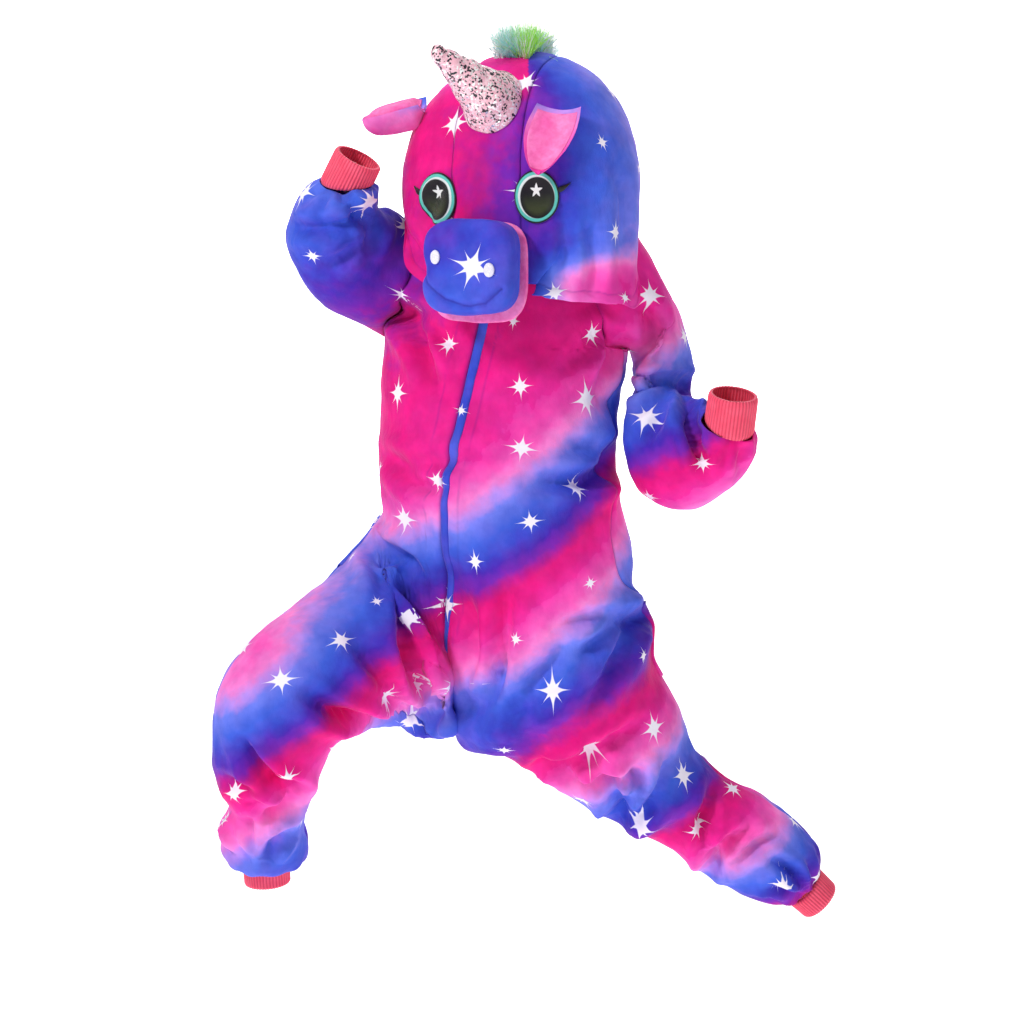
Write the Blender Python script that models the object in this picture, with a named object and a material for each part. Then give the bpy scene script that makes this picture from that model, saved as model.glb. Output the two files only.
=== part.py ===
"""A child's unicorn onesie, worn in a wide lunge with one arm raised, as hollow cloth pieces.

Metres, +Z up. The garment faces -Y. The origin is the base of the neck, where the shoulders carry it.
"left" and "right" are the wearer's, so left is at +X.

Each half of the body is one tube from the neck to the ankle. Its rows are half rings down to the crotch
and whole rings below it, and smooth curves join the rows. A panel is a part of that tube:
"around" runs -1 at the centre front or inseam, 0 at the side seam, +1 at the centre back or inseam.
"""

import math
from collections import namedtuple
from functools import lru_cache

import bpy
import numpy as np

# Cloth and seams
FLEECE = 0.0016
KNIT = 0.0016
FELT = 0.0012
SEAM_GAP = 0.0004
CROTCH_EASE = 0.0022  # how much further apart the panels' edges lie where four seams meet
PROBE = 1e-4  # step used to find a surface's direction

LEFT = 1
RIGHT = -1

# Body rows, neck to hip. turn: the body's heading towards +X's right hand, in degrees. tilt: left side lowered.
TorsoRow = namedtuple("TorsoRow", "x y z half_width front back turn tilt")
TORSO = [
    TorsoRow(0.004, 0.020, 0.022, 0.078, 0.070, 0.066, 8, 0),
    TorsoRow(0.004, 0.018, 0.012, 0.116, 0.086, 0.080, 9, 0),
    TorsoRow(0.005, 0.014, -0.008, 0.152, 0.100, 0.096, 11, 0),
    TorsoRow(0.003, 0.008, -0.050, 0.164, 0.112, 0.108, 13, 0),
    TorsoRow(-0.004, 0.004, -0.110, 0.163, 0.118, 0.112, 16, 1),
    TorsoRow(-0.012, 0.002, -0.180, 0.160, 0.120, 0.112, 20, 3),
    TorsoRow(-0.017, 0.000, -0.250, 0.160, 0.124, 0.112, 25, 5),
    TorsoRow(-0.017, 0.000, -0.325, 0.167, 0.134, 0.116, 31, 9),
    TorsoRow(-0.007, 0.002, -0.398, 0.182, 0.140, 0.130, 36, 15),
]

# Leg rows, groin to ankle: the inseam side, the outer side, and how far the cloth stands out before and behind.
TubeRow = namedtuple("TubeRow", "inner outer front back")
CROTCH = (-0.075, 0.000, -0.655)
LEGS = {
    RIGHT: [
        TubeRow(CROTCH, (-0.196, 0.040, -0.418), 0.112, 0.108),
        TubeRow((-0.122, -0.030, -0.648), (-0.233, 0.000, -0.455), 0.104, 0.096),
        TubeRow((-0.163, -0.070, -0.641), (-0.275, -0.055, -0.491), 0.094, 0.086),
        TubeRow((-0.200, -0.100, -0.648), (-0.326, -0.112, -0.527), 0.086, 0.078),
        TubeRow((-0.229, -0.110, -0.668), (-0.364, -0.140, -0.578), 0.078, 0.074),
        TubeRow((-0.246, -0.098, -0.704), (-0.377, -0.130, -0.648), 0.070, 0.070),
        TubeRow((-0.262, -0.082, -0.741), (-0.374, -0.110, -0.704), 0.062, 0.064),
        TubeRow((-0.267, -0.070, -0.770), (-0.360, -0.092, -0.745), 0.056, 0.058),
        TubeRow((-0.262, -0.058, -0.796), (-0.374, -0.076, -0.780), 0.056, 0.058),
        TubeRow((-0.268, -0.050, -0.820), (-0.372, -0.062, -0.808), 0.050, 0.052),
        TubeRow((-0.289, -0.050, -0.829), (-0.348, -0.054, -0.822), 0.031, 0.031),
    ],
    LEFT: [
        TubeRow(CROTCH, (0.178, -0.012, -0.506), 0.126, 0.124),
        TubeRow((-0.024, 0.012, -0.686), (0.182, 0.004, -0.567), 0.116, 0.112),
        TubeRow((0.022, 0.022, -0.714), (0.204, 0.016, -0.606), 0.104, 0.100),
        TubeRow((0.071, 0.032, -0.750), (0.226, 0.026, -0.650), 0.094, 0.090),
        TubeRow((0.123, 0.042, -0.785), (0.240, 0.036, -0.692), 0.082, 0.078),
        TubeRow((0.170, 0.052, -0.811), (0.266, 0.046, -0.722), 0.072, 0.070),
        TubeRow((0.214, 0.060, -0.835), (0.302, 0.054, -0.748), 0.066, 0.066),
        TubeRow((0.260, 0.068, -0.869), (0.342, 0.062, -0.771), 0.062, 0.064),
        TubeRow((0.308, 0.076, -0.899), (0.382, 0.070, -0.801), 0.060, 0.062),
        TubeRow((0.347, 0.082, -0.911), (0.408, 0.076, -0.834), 0.050, 0.052),
        TubeRow((0.374, 0.088, -0.914), (0.414, 0.082, -0.868), 0.031, 0.031),
    ],
}

# Armholes: the rows of the body that their top and bottom lie at, and how far round they reach from the side seam
ARMHOLE_TOP = 1.9
ARMHOLE_BOTTOM = 4.7
ARMHOLE_REACH = 0.44
ARMHOLE_STEPS = 7

# Sleeve rows, below the armhole to the cuff seam. inner is the underarm and elbow side, outer the shoulder's side.
SLEEVES = {
    RIGHT: [
        TubeRow((-0.200, -0.008, -0.131), (-0.160, 0.006, 0.014), 0.074, 0.070),
        TubeRow((-0.240, -0.030, -0.107), (-0.168, -0.018, 0.012), 0.066, 0.066),
        TubeRow((-0.271, -0.050, -0.067), (-0.168, -0.042, 0.012), 0.062, 0.062),
        TubeRow((-0.284, -0.062, -0.030), (-0.170, -0.056, 0.018), 0.060, 0.060),
        TubeRow((-0.278, -0.072, 0.003), (-0.168, -0.068, 0.026), 0.056, 0.056),
        TubeRow((-0.264, -0.078, 0.032), (-0.166, -0.076, 0.036), 0.049, 0.049),
        TubeRow((-0.240, -0.083, 0.046), (-0.174, -0.083, 0.042), 0.032, 0.032),
    ],
    LEFT: [
        TubeRow((0.154, -0.006, -0.172), (0.194, -0.003, -0.078), 0.068, 0.066),
        TubeRow((0.158, -0.012, -0.208), (0.219, -0.008, -0.128), 0.066, 0.064),
        TubeRow((0.159, -0.020, -0.250), (0.228, -0.016, -0.168), 0.064, 0.062),
        TubeRow((0.160, -0.037, -0.302), (0.217, -0.032, -0.200), 0.062, 0.060),
        TubeRow((0.170, -0.060, -0.350), (0.216, -0.052, -0.216), 0.062, 0.060),
        TubeRow((0.220, -0.084, -0.368), (0.223, -0.076, -0.224), 0.060, 0.060),
        TubeRow((0.272, -0.110, -0.336), (0.231, -0.098, -0.230), 0.056, 0.056),
        TubeRow((0.298, -0.126, -0.300), (0.234, -0.118, -0.244), 0.044, 0.044),
        TubeRow((0.299, -0.140, -0.268), (0.239, -0.137, -0.250), 0.031, 0.031),
    ],
}

# Cuffs: where each ends, and its radius there
Cuff = namedtuple("Cuff", "x y z radius")
WRIST_CUFFS = {RIGHT: Cuff(-0.191, -0.094, 0.074, 0.030), LEFT: Cuff(0.273, -0.152, -0.218, 0.030)}
ANKLE_CUFFS = {RIGHT: Cuff(-0.317, -0.049, -0.855, 0.029), LEFT: Cuff(0.418, 0.090, -0.914, 0.029)}

# The largest folds: troughs that run from (x0, z0) past (x1, z1) to (x2, z2) on the front or the back of the cloth
Fold = namedtuple("Fold", "x0 z0 x1 z1 x2 z2 half_width depth side")
FRONT = -1
BACK = 1
FOLDS = [
    Fold(0.130, -0.232, 0.180, -0.214, 0.212, -0.200, 0.016, 0.014, FRONT),
    Fold(-0.085, -0.450, -0.020, -0.590, 0.036, -0.672, 0.020, 0.011, FRONT),
    Fold(0.060, -0.728, 0.115, -0.742, 0.145, -0.748, 0.014, 0.009, FRONT),
    Fold(0.230, -0.682, 0.215, -0.730, 0.185, -0.765, 0.014, 0.010, FRONT),
    Fold(0.270, -0.738, 0.262, -0.770, 0.200, -0.806, 0.014, 0.009, FRONT),
    Fold(-0.365, -0.748, -0.340, -0.760, -0.300, -0.752, 0.012, 0.007, FRONT),
    Fold(-0.172, -0.004, -0.215, -0.020, -0.262, -0.030, 0.012, 0.008, FRONT),
    Fold(-0.120, -0.250, -0.010, -0.300, 0.110, -0.330, 0.022, 0.010, BACK),
    Fold(-0.130, -0.500, -0.060, -0.560, 0.030, -0.640, 0.022, 0.014, BACK),
    Fold(0.160, -0.620, 0.110, -0.680, 0.080, -0.740, 0.018, 0.010, BACK),
]

# Hood rows from the brow over the crown to the nape, beside, ahead of and above the middle of the head.
# settle: how far the row has turned and moved from the bowed head (0) to the neck (1).
HEAD = np.array([0.023, -0.040, 0.038])
NECK = np.array([0.004, 0.018, 0.038])
HEAD_TURN = 25
NECK_TURN = 8
HoodRow = namedtuple("HoodRow", "settle mid_ahead mid_up wide wide_ahead wide_up")
HOOD = [
    HoodRow(0.00, 0.128, -0.120, 0.062, 0.118, -0.122),
    HoodRow(0.00, 0.130, -0.078, 0.084, 0.114, -0.095),
    HoodRow(0.00, 0.132, -0.026, 0.108, 0.100, -0.070),
    HoodRow(0.00, 0.132, 0.028, 0.134, 0.082, -0.040),
    HoodRow(0.00, 0.122, 0.082, 0.149, 0.058, -0.010),
    HoodRow(0.02, 0.094, 0.132, 0.155, 0.032, 0.010),
    HoodRow(0.12, 0.048, 0.164, 0.152, 0.004, 0.022),
    HoodRow(0.30, -0.010, 0.172, 0.143, -0.028, 0.024),
    HoodRow(0.50, -0.068, 0.150, 0.130, -0.056, 0.024),
    HoodRow(0.70, -0.106, 0.098, 0.114, -0.076, 0.022),
    HoodRow(0.90, -0.116, 0.036, 0.094, -0.086, 0.014),
    HoodRow(1.00, -0.088, -0.010, 0.062, -0.084, -0.006),
]
# The hood's lower edge beside each of those rows: the face opening's hem, then the neck seam
HoodEdge = namedtuple("HoodEdge", "beside ahead up")
HOOD_EDGES = {
    LEFT: [
        HoodEdge(0.058, 0.122, -0.134),
        HoodEdge(0.084, 0.112, -0.138),
        HoodEdge(0.108, 0.098, -0.141),
        HoodEdge(0.132, 0.080, -0.143),
        HoodEdge(0.150, 0.058, -0.145),
        HoodEdge(0.160, 0.034, -0.146),
        HoodEdge(0.152, 0.020, -0.104),
        HoodEdge(0.118, 0.036, -0.046),
        HoodEdge(0.084, 0.032, -0.012),
        HoodEdge(0.086, -0.004, -0.012),
        HoodEdge(0.074, -0.046, -0.012),
        HoodEdge(0.052, -0.066, -0.012),
    ],
    RIGHT: [
        HoodEdge(0.060, 0.120, -0.134),
        HoodEdge(0.090, 0.112, -0.122),
        HoodEdge(0.124, 0.104, -0.098),
        HoodEdge(0.132, 0.092, -0.058),
        HoodEdge(0.138, 0.062, -0.018),
        HoodEdge(0.136, 0.030, -0.012),
        HoodEdge(0.122, 0.008, -0.012),
        HoodEdge(0.104, 0.004, -0.012),
        HoodEdge(0.092, 0.008, -0.012),
        HoodEdge(0.086, -0.004, -0.012),
        HoodEdge(0.074, -0.046, -0.012),
        HoodEdge(0.052, -0.066, -0.012),
    ],
}
GUSSET_HALF = 0.046  # half the width of the hood's middle strip


def unit(vector):
    return vector / max(np.linalg.norm(vector), 1e-12)


def along_curve(point_at, last, place):
    """The point at a place (0 to last) on a smooth curve through point_at(0), point_at(1) and so on."""
    start = min(int(place), last - 1)
    share = place - start
    before = point_at(max(start - 1, 0))
    here = point_at(start)
    there = point_at(start + 1)
    after = point_at(min(start + 2, last))
    leave = (there - before) / (2 if start > 0 else 1)
    arrive = (after - here) / (2 if start + 2 <= last else 1)
    return (
        (2 * share**3 - 3 * share**2 + 1) * here
        + (share**3 - 2 * share**2 + share) * leave
        + (3 * share**2 - 2 * share**3) * there
        + (share**3 - share**2) * arrive
    )


# --- The body tube -----------------------------------------------------------------------------------------


def torso_point(row, half, around):
    turn = math.radians(row.turn)
    tilt = math.radians(row.tilt)
    left = np.array([math.cos(turn) * math.cos(tilt), -math.sin(turn) * math.cos(tilt), -math.sin(tilt)])
    ahead = np.array([-math.sin(turn), -math.cos(turn), 0.0])
    angle = around * math.pi / 2
    reach = row.front if around < 0 else row.back
    middle = np.array([row.x, row.y, row.z])
    return middle + half * row.half_width * left * math.cos(angle) - reach * ahead * math.sin(angle)


def ring_middle(row):
    return np.add(row.inner, row.outer) / 2


def ring_point(row, half, down, angle):
    """A point of a tube's ring that lies across the direction down. The angle is 0 at the outer side."""
    inner = np.array(row.inner)
    outer = np.array(row.outer)
    ahead = unit(np.cross(outer - inner, down)) * -half
    reach = row.front if math.sin(angle) < 0 else row.back
    return ring_middle(row) + (outer - inner) / 2 * math.cos(angle) - reach * ahead * math.sin(angle)


def leg_point(half, index, around):
    rows = LEGS[half]
    hip = TORSO[-1]
    if index > 0:
        above = ring_middle(rows[index - 1])
    else:
        above = (ring_middle(rows[0]) + np.array([hip.x, hip.y, hip.z])) / 2
    below = ring_middle(rows[min(index + 1, len(rows) - 1)])
    return ring_point(rows[index], half, below - above, around * math.pi)


CROTCH_ROW = len(TORSO)
LAST_ROW = len(TORSO) + len(LEGS[LEFT]) - 1
EDGE_BLEND = 3  # how fast a half's own shape takes over from the edge that it shares


@lru_cache(maxsize=None)
def row_point(half, around, index):
    if index < CROTCH_ROW:
        return torso_point(TORSO[index], half, around)
    return leg_point(half, index - CROTCH_ROW, around)


def own_point(half, around, place):
    """A point of one half's own curve. Edges that meet at a seam reach the crotch, and leave it, the same way."""

    def row_at(index):
        point = row_point(half, around, index)
        shared = point
        if index == CROTCH_ROW + 1 and place < CROTCH_ROW:
            shared = (row_point(LEFT, around, index) + row_point(RIGHT, around, index)) / 2
        if index == CROTCH_ROW - 1 and place >= CROTCH_ROW:
            shared = (row_point(half, 1, index) + row_point(half, -1, index)) / 2
        return point + (shared - point) * abs(around) ** EDGE_BLEND

    return along_curve(row_at, LAST_ROW, place)


def tube_point(half, around, place):
    """A point of the smooth tube. Above the crotch both halves share the centre front and centre back."""
    point = own_point(half, around, place)
    if place >= CROTCH_ROW or around == 0:
        return point
    edge = math.copysign(1, around)
    shared = (own_point(LEFT, edge, place) + own_point(RIGHT, edge, place)) / 2
    return point + (shared - own_point(half, edge, place)) * abs(around) ** EDGE_BLEND


def tube_normal(half, around, place):
    """Straight out of the cloth, the same on both sides of every seam."""
    places = [(half, around)]
    if abs(around) > 1 - 1e-6:
        if place <= CROTCH_ROW:
            places.append((-half, around))
        if place >= CROTCH_ROW:
            places.append((half, -around))
        if place == CROTCH_ROW:
            places.append((-half, -around))
    total = np.zeros(3)
    for side, where in places:
        low = max(where - PROBE, -1)
        high = min(where + PROBE, 1)
        across = tube_point(side, high, place) - tube_point(side, low, place)
        down = tube_point(side, where, min(place + PROBE, LAST_ROW)) - tube_point(side, where, max(place - PROBE, 0))
        total += unit(np.cross(across, down)) * -side
    return unit(total)


def fold_depth(point, normal):
    """How far the folds push the cloth in at a point."""
    depth = 0.0
    for fold in FOLDS:
        facing = normal[1] * fold.side
        if facing <= 0:
            continue
        start = np.array([fold.x0, fold.z0])
        middle = np.array([fold.x1, fold.z1])
        end = np.array([fold.x2, fold.z2])
        here = point[[0, 2]]
        near = min(distance_to_run(here, start, middle), distance_to_run(here, middle, end))
        depth += fold.depth * math.exp(-((near / fold.half_width) ** 2)) * min(1, 2 * facing)
    return depth


def distance_to_run(here, start, end):
    run = end - start
    share = min(1, max(0, np.dot(here - start, run) / np.dot(run, run)))
    return np.linalg.norm(here - start - run * share)


def cloth(half, around, place, out=0.0):
    """A point of the body's cloth, with its folds, moved out by a distance."""
    point = tube_point(half, around, place)
    normal = tube_normal(half, around, place)
    return point + normal * (out - fold_depth(point, normal))


# --- Making meshes -----------------------------------------------------------------------------------------


def paint(name, color, roughness):
    material = bpy.data.materials.new(name)
    material.use_nodes = True
    shader = material.node_tree.nodes["Principled BSDF"]
    shader.inputs["Base Color"].default_value = (*color, 1.0)
    shader.inputs["Roughness"].default_value = roughness
    return material


def add_mesh(name, points, faces, material):
    mesh = bpy.data.meshes.new(name)
    mesh.from_pydata([tuple(p) for p in points], [], faces)
    mesh.materials.append(material)
    mesh.validate()
    mesh.shade_smooth()
    mesh.set_sharp_from_angle(angle=math.radians(40))
    piece = bpy.data.objects.new(name, mesh)
    bpy.context.scene.collection.objects.link(piece)
    return piece


def add_wall(name, outside, inside, material, closed=False):
    """A cloth wall between two grids of points [row][column]. A closed wall joins its last column to its first."""
    rows = len(outside)
    columns = len(outside[0])
    points = [p for row in outside for p in row] + [p for row in inside for p in row]
    depth = rows * columns
    faces = []
    spans = columns if closed else columns - 1
    for r in range(rows - 1):
        for c in range(spans):
            n = (c + 1) % columns
            quad = (r * columns + c, (r + 1) * columns + c, (r + 1) * columns + n, r * columns + n)
            for triangle in (quad[:3], (quad[0], quad[2], quad[3])):
                faces.append(triangle)
                faces.append(tuple(depth + k for k in reversed(triangle)))
    if not closed:
        for r in range(rows - 1):
            faces += side_rim(r * columns, (r + 1) * columns, depth)
            faces += [tuple(reversed(f)) for f in side_rim((r + 1) * columns - 1, (r + 2) * columns - 1, depth)]
    for c in range(spans):
        n = (c + 1) % columns
        faces.append((c, n, depth + n, depth + c))
        last = (rows - 1) * columns
        faces.append((last + n, last + c, depth + last + c, depth + last + n))
    return add_mesh(name, points, outward(points, faces), material)


def even_wall(outside, inside, closed=False):
    """Sets the inside points straight below the outside's own facets, but not those along a seam to the next piece."""
    columns = len(outside[0])
    places = [
        (r, c)
        for r in range(0 if closed else 1, len(outside) - 1)
        for c in range(0 if closed else 1, columns if closed else columns - 1)
    ]
    normals = []
    for r, c in places:
        along = outside[r + 1][c] - outside[max(r - 1, 0)][c]
        across = outside[r][(c + 1) % columns] - outside[r][c - 1]
        normals.append(unit(np.cross(along, across)))
    agreement = sum(np.dot(n, inside[r][c] - outside[r][c]) for n, (r, c) in zip(normals, places))
    for n, (r, c) in zip(normals, places):
        inside[r][c] = outside[r][c] + n * FLEECE * np.sign(agreement)


def side_rim(upper, lower, depth):
    """The wall's thickness along a side, split the same way on both sides of a seam, so that neighbours match."""
    return [(upper, depth + upper, depth + lower), (upper, depth + lower, lower)]


def outward(points, faces):
    """The faces, all turned over if they enclose a negative volume."""
    total = 0.0
    for face in faces:
        first = np.asarray(points[face[0]])
        for k in range(1, len(face) - 1):
            total += np.dot(first, np.cross(points[face[k]], points[face[k + 1]]))
    if total > 0:
        return faces
    return [tuple(reversed(face)) for face in faces]


def trim_sides(outside, inside, eases=None):
    """Draws the first and last columns of both grids in, so that a panel stays clear of its neighbour."""
    for r in range(len(outside)):
        gap = SEAM_GAP / 2 + (eases[r] if eases else 0.0)
        for edge, beside in ((0, 2), (-1, -3)):
            inward = unit(outside[r][beside] - outside[r][edge]) * gap
            outside[r][edge] = outside[r][edge] + inward
            inside[r][edge] = inside[r][edge] + inward


# --- Body panels -------------------------------------------------------------------------------------------

PANEL_COLUMNS = 6
NECK_STEPS = 2
TORSO_STEPS = 7
GROIN_STEPS = 4
LEG_STEPS = 14


def even(start, stop, steps):
    return [start + (stop - start) * k / steps for k in range(steps + 1)]


ARMHOLE_MIDDLE = (ARMHOLE_TOP + ARMHOLE_BOTTOM) / 2
ARMHOLE_HALF = (ARMHOLE_BOTTOM - ARMHOLE_TOP) / 2


def armhole_places():
    turns = even(0, math.pi, ARMHOLE_STEPS)
    return [ARMHOLE_MIDDLE - ARMHOLE_HALF * math.cos(turn) for turn in turns]


def armhole_reach(place):
    """How far round the armhole reaches from the side seam at a place."""
    inside = 1 - ((place - ARMHOLE_MIDDLE) / ARMHOLE_HALF) ** 2
    return ARMHOLE_REACH * math.sqrt(inside) if inside > 1e-9 else 0.0


def panel_places():
    places = even(0, ARMHOLE_TOP, NECK_STEPS)[:-1]
    places += armhole_places()[:-1]
    places += even(ARMHOLE_BOTTOM, CROTCH_ROW - 1, TORSO_STEPS)[:-1]
    places += even(CROTCH_ROW - 1, CROTCH_ROW, GROIN_STEPS)[:-1]
    return places + even(CROTCH_ROW, LAST_ROW, LEG_STEPS)


def add_body_panel(name, half, front, material):
    outside = []
    inside = []
    for place in panel_places():
        reach = armhole_reach(place)
        arounds = even(-1, -reach, PANEL_COLUMNS) if front else even(reach, 1, PANEL_COLUMNS)
        outside.append([cloth(half, around, place) for around in arounds])
        inside.append([cloth(half, around, place, -FLEECE) for around in arounds])
    even_wall(outside, inside)
    eases = [CROTCH_EASE * math.exp(-((place - CROTCH_ROW) ** 2)) for place in panel_places()]
    trim_sides(outside, inside, eases)
    return add_wall(name, outside, inside, material)


# --- Sleeves and cuffs -------------------------------------------------------------------------------------

SLEEVE_ROWS = 12
ARMHOLE_GAP = 0.0002
ARMHOLE_LIFT = 0.0020


def armhole_ring(half, out):
    """The armhole's points from its top down the front and up the back."""
    places = armhole_places()
    ring = [cloth(half, -armhole_reach(place), place, out) for place in places]
    ring += [cloth(half, armhole_reach(place), place, out) for place in places[-2:0:-1]]
    return ring


def sleeve_start(half, out):
    """The sleeve's first ring, lapped just over the armhole's edge. Its inside lies nearer the armhole's middle."""
    ring = armhole_ring(half, ARMHOLE_LIFT + FLEECE + out)
    middle = sum(ring) / len(ring)
    return [p + unit(middle - p) * (ARMHOLE_GAP - 0.7 * out) for p in ring]


def sleeve_rings(half, out):
    """The sleeve's rings from the armhole to the cuff seam, moved out by a distance."""
    first = sleeve_start(half, out)
    count = len(first)
    rows = SLEEVES[half]
    middles = [sum(first) / count] + [ring_middle(row) for row in rows] + [np.array(WRIST_CUFFS[half][:3])]
    rings = [first]
    for k, row in enumerate(rows):
        down = middles[k + 2] - middles[k]
        ring = []
        for step in range(count):
            point = ring_point(row, half, down, -2 * math.pi * step / count)
            ring.append(point + unit(point - middles[k + 1]) * out)
        rings.append(ring)
    return rings


def add_sleeve(name, half, material):
    grids = []
    for out in (0.0, -FLEECE):
        rings = sleeve_rings(half, out)
        last = len(rings) - 1
        grid = []
        for place in even(0, last, SLEEVE_ROWS):
            ring = [along_curve(lambda r, k=k: rings[r][k], last, place) for k in range(len(rings[0]))]
            grid.append(ring)
        grids.append(grid)
    outside, inside = grids
    even_wall(outside, inside, closed=True)
    return add_wall(name, outside, inside, material, closed=True)


CUFF_ROWS = 3


def add_cuff(name, outer_ring, inner_ring, cuff, material):
    """A knit tube sewn to the end of a sleeve or leg, from that end's two rings to a round mouth."""
    count = len(outer_ring)
    start = sum(outer_ring) / count
    end = np.array([cuff.x, cuff.y, cuff.z])
    ahead = unit(end - start)
    outside = []
    inside = []
    for k in range(CUFF_ROWS + 1):
        share = k / CUFF_ROWS
        for grid, ring, radius in ((outside, outer_ring, cuff.radius), (inside, inner_ring, cuff.radius - KNIT)):
            row = []
            for point in ring:
                spoke = point - start
                spoke = unit(spoke - ahead * np.dot(spoke, ahead))
                mouth = end + spoke * radius
                row.append(point + (mouth - point) * share + ahead * SEAM_GAP * 2 * (1 - share))
            grid.append(row)
    return add_wall(name, outside, inside, material, closed=True)


def ankle_ring(half, out):
    arounds = even(-1, 1, 2 * PANEL_COLUMNS)[:-1]
    return [cloth(half, around, LAST_ROW, out) for around in arounds]


# --- Hood --------------------------------------------------------------------------------------------------


def head_place(beside, ahead, up, settle=0.0):
    """A place beside, ahead of and above the middle of the head, or of the neck as settle goes to 1."""
    turn = math.radians(HEAD_TURN + (NECK_TURN - HEAD_TURN) * settle)
    middle = HEAD + (NECK - HEAD) * settle
    across = np.array([math.cos(turn), -math.sin(turn), 0.0])
    forward = np.array([-math.sin(turn), -math.cos(turn), 0.0])
    return middle + across * beside + forward * ahead + np.array([0.0, 0.0, up])


WIDEST = 0.7  # the share of a section, from the midline, where the hood is widest


@lru_cache(maxsize=None)
def hood_section(half, index, down):
    """A quarter round from the midline out to the widest place, then another in to the lower edge."""
    row = HOOD[index]
    edge = HOOD_EDGES[half][index]
    if down <= WIDEST:
        angle = down / WIDEST * math.pi / 2
        beside = row.wide * math.sin(angle)
        drop = 1 - math.cos(angle)
        ahead = row.mid_ahead + (row.wide_ahead - row.mid_ahead) * drop
        up = row.mid_up + (row.wide_up - row.mid_up) * drop
    else:
        angle = (down - WIDEST) / (1 - WIDEST) * math.pi / 2
        gather = 1 - math.cos(angle)
        beside = row.wide + (edge.beside - row.wide) * gather
        ahead = row.wide_ahead + (edge.ahead - row.wide_ahead) * gather
        up = row.wide_up + (edge.up - row.wide_up) * math.sin(angle)
    return head_place(half * beside, ahead, up, row.settle)


HOOD_LAST = len(HOOD) - 1


def hood_point(half, down, place):
    return along_curve(lambda index: hood_section(half, index, down), HOOD_LAST, place)


def hood_seam(place):
    """How far down a section the gusset's seam lies."""
    shares = [math.asin(min(1, GUSSET_HALF / row.wide)) / (math.pi / 2) * WIDEST for row in HOOD]
    return along_curve(lambda index: shares[index], HOOD_LAST, place)


def hood_cloth(half, down, place, out=0.0):
    low = max(place - PROBE, 0)
    high = min(place + PROBE, HOOD_LAST)
    inner = max(down - PROBE, 0)
    outer = min(down + PROBE, 1)
    along = hood_point(half, down, high) - hood_point(half, down, low)
    across = hood_point(half, outer, place) - hood_point(half, inner, place)
    return hood_point(half, down, place) + unit(np.cross(across, along)) * half * out


HOOD_STEPS = 16
HOOD_COLUMNS = 7
GUSSET_COLUMNS = 4


def add_hood_side(name, half, material):
    outside = []
    inside = []
    for place in even(0, HOOD_LAST, HOOD_STEPS):
        downs = even(hood_seam(place), 1, HOOD_COLUMNS)
        outside.append([hood_cloth(half, down, place) for down in downs])
        inside.append([hood_cloth(half, down, place, -FLEECE) for down in downs])
    even_wall(outside, inside)
    trim_sides(outside, inside)
    return add_wall(name, outside, inside, material)


def gusset_row(place, half_width_share, out, columns=GUSSET_COLUMNS):
    seam = hood_seam(place) * half_width_share
    downs = even(-seam, seam, columns)
    return [hood_cloth(LEFT if down > 0 else RIGHT, abs(down), place, out) for down in downs]


def add_gusset(name, material):
    places = even(0, HOOD_LAST, HOOD_STEPS)
    outside = [gusset_row(place, 1, 0.0) for place in places]
    inside = [gusset_row(place, 1, -FLEECE) for place in places]
    trim_sides(outside, inside)
    return add_wall(name, outside, inside, material)


def on_hood(beside, up, out):
    """The hood's cloth straight ahead of a place beside and above the middle of the head."""
    half = LEFT if beside >= 0 else RIGHT
    across = head_place(1, 0, 0) - HEAD
    down, place = 0.3, 2.5
    for _ in range(12):
        here = hood_flat(half, down, place, across)
        by_down = (hood_flat(half, down + PROBE, place, across) - here) / PROBE
        by_place = (hood_flat(half, down, place + PROBE, across) - here) / PROBE
        step = np.linalg.solve(np.array([by_down, by_place]).T, np.array([beside, up]) - here)
        down = min(0.99, max(0.01, down + step[0]))
        place = min(6, max(0.01, place + step[1]))
    return hood_cloth(half, down, place, out)


def hood_flat(half, down, place, across):
    point = hood_point(half, down, place) - HEAD
    return np.array([np.dot(point, across), point[2]])


# --- What is sewn to the hood ------------------------------------------------------------------------------


def add_disc(name, place_at, low, high, material, rings=3, sides=20):
    """A closed patch. place_at(share, angle, out) gives its points, out from low to high."""
    points = []
    faces = []
    for out in (high, low):
        points.append(place_at(0.0, 0.0, out))
        for ring in range(1, rings + 1):
            points += [place_at(ring / rings, angle, out) for angle in even(0, 2 * math.pi, sides)[:-1]]
    layer = 1 + rings * sides
    for start, turned in ((0, False), (layer, True)):
        for k in range(sides):
            n = (k + 1) % sides
            fan = (start, start + 1 + k, start + 1 + n)
            faces.append(tuple(reversed(fan)) if turned else fan)
            for ring in range(rings - 1):
                first = start + 1 + ring * sides
                quad = (first + k, first + sides + k, first + sides + n, first + n)
                faces.append(tuple(reversed(quad)) if turned else quad)
    rim = 1 + (rings - 1) * sides
    for k in range(sides):
        n = (k + 1) % sides
        faces.append((rim + k, layer + rim + k, layer + rim + n, rim + n))
    return add_mesh(name, points, outward(points, faces), material)


EYE_BESIDE = 0.0660
EYE_UP = -0.016
EYE_HALF_WIDTH = 0.0270
EYE_HALF_HEIGHT = 0.0320
PATCH_LIFT = 0.0006
LASH_LENGTH = 0.015
LASH_HALF_HEIGHT = 0.0045


def add_eye(name, half, material):
    def place_at(share, angle, out):
        beside = EYE_BESIDE + EYE_HALF_WIDTH * share * math.cos(angle)
        up = EYE_UP + EYE_HALF_HEIGHT * share * math.sin(angle)
        return on_hood(half * beside, up, out)

    return add_disc(name, place_at, PATCH_LIFT, PATCH_LIFT + FELT, material)


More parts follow.
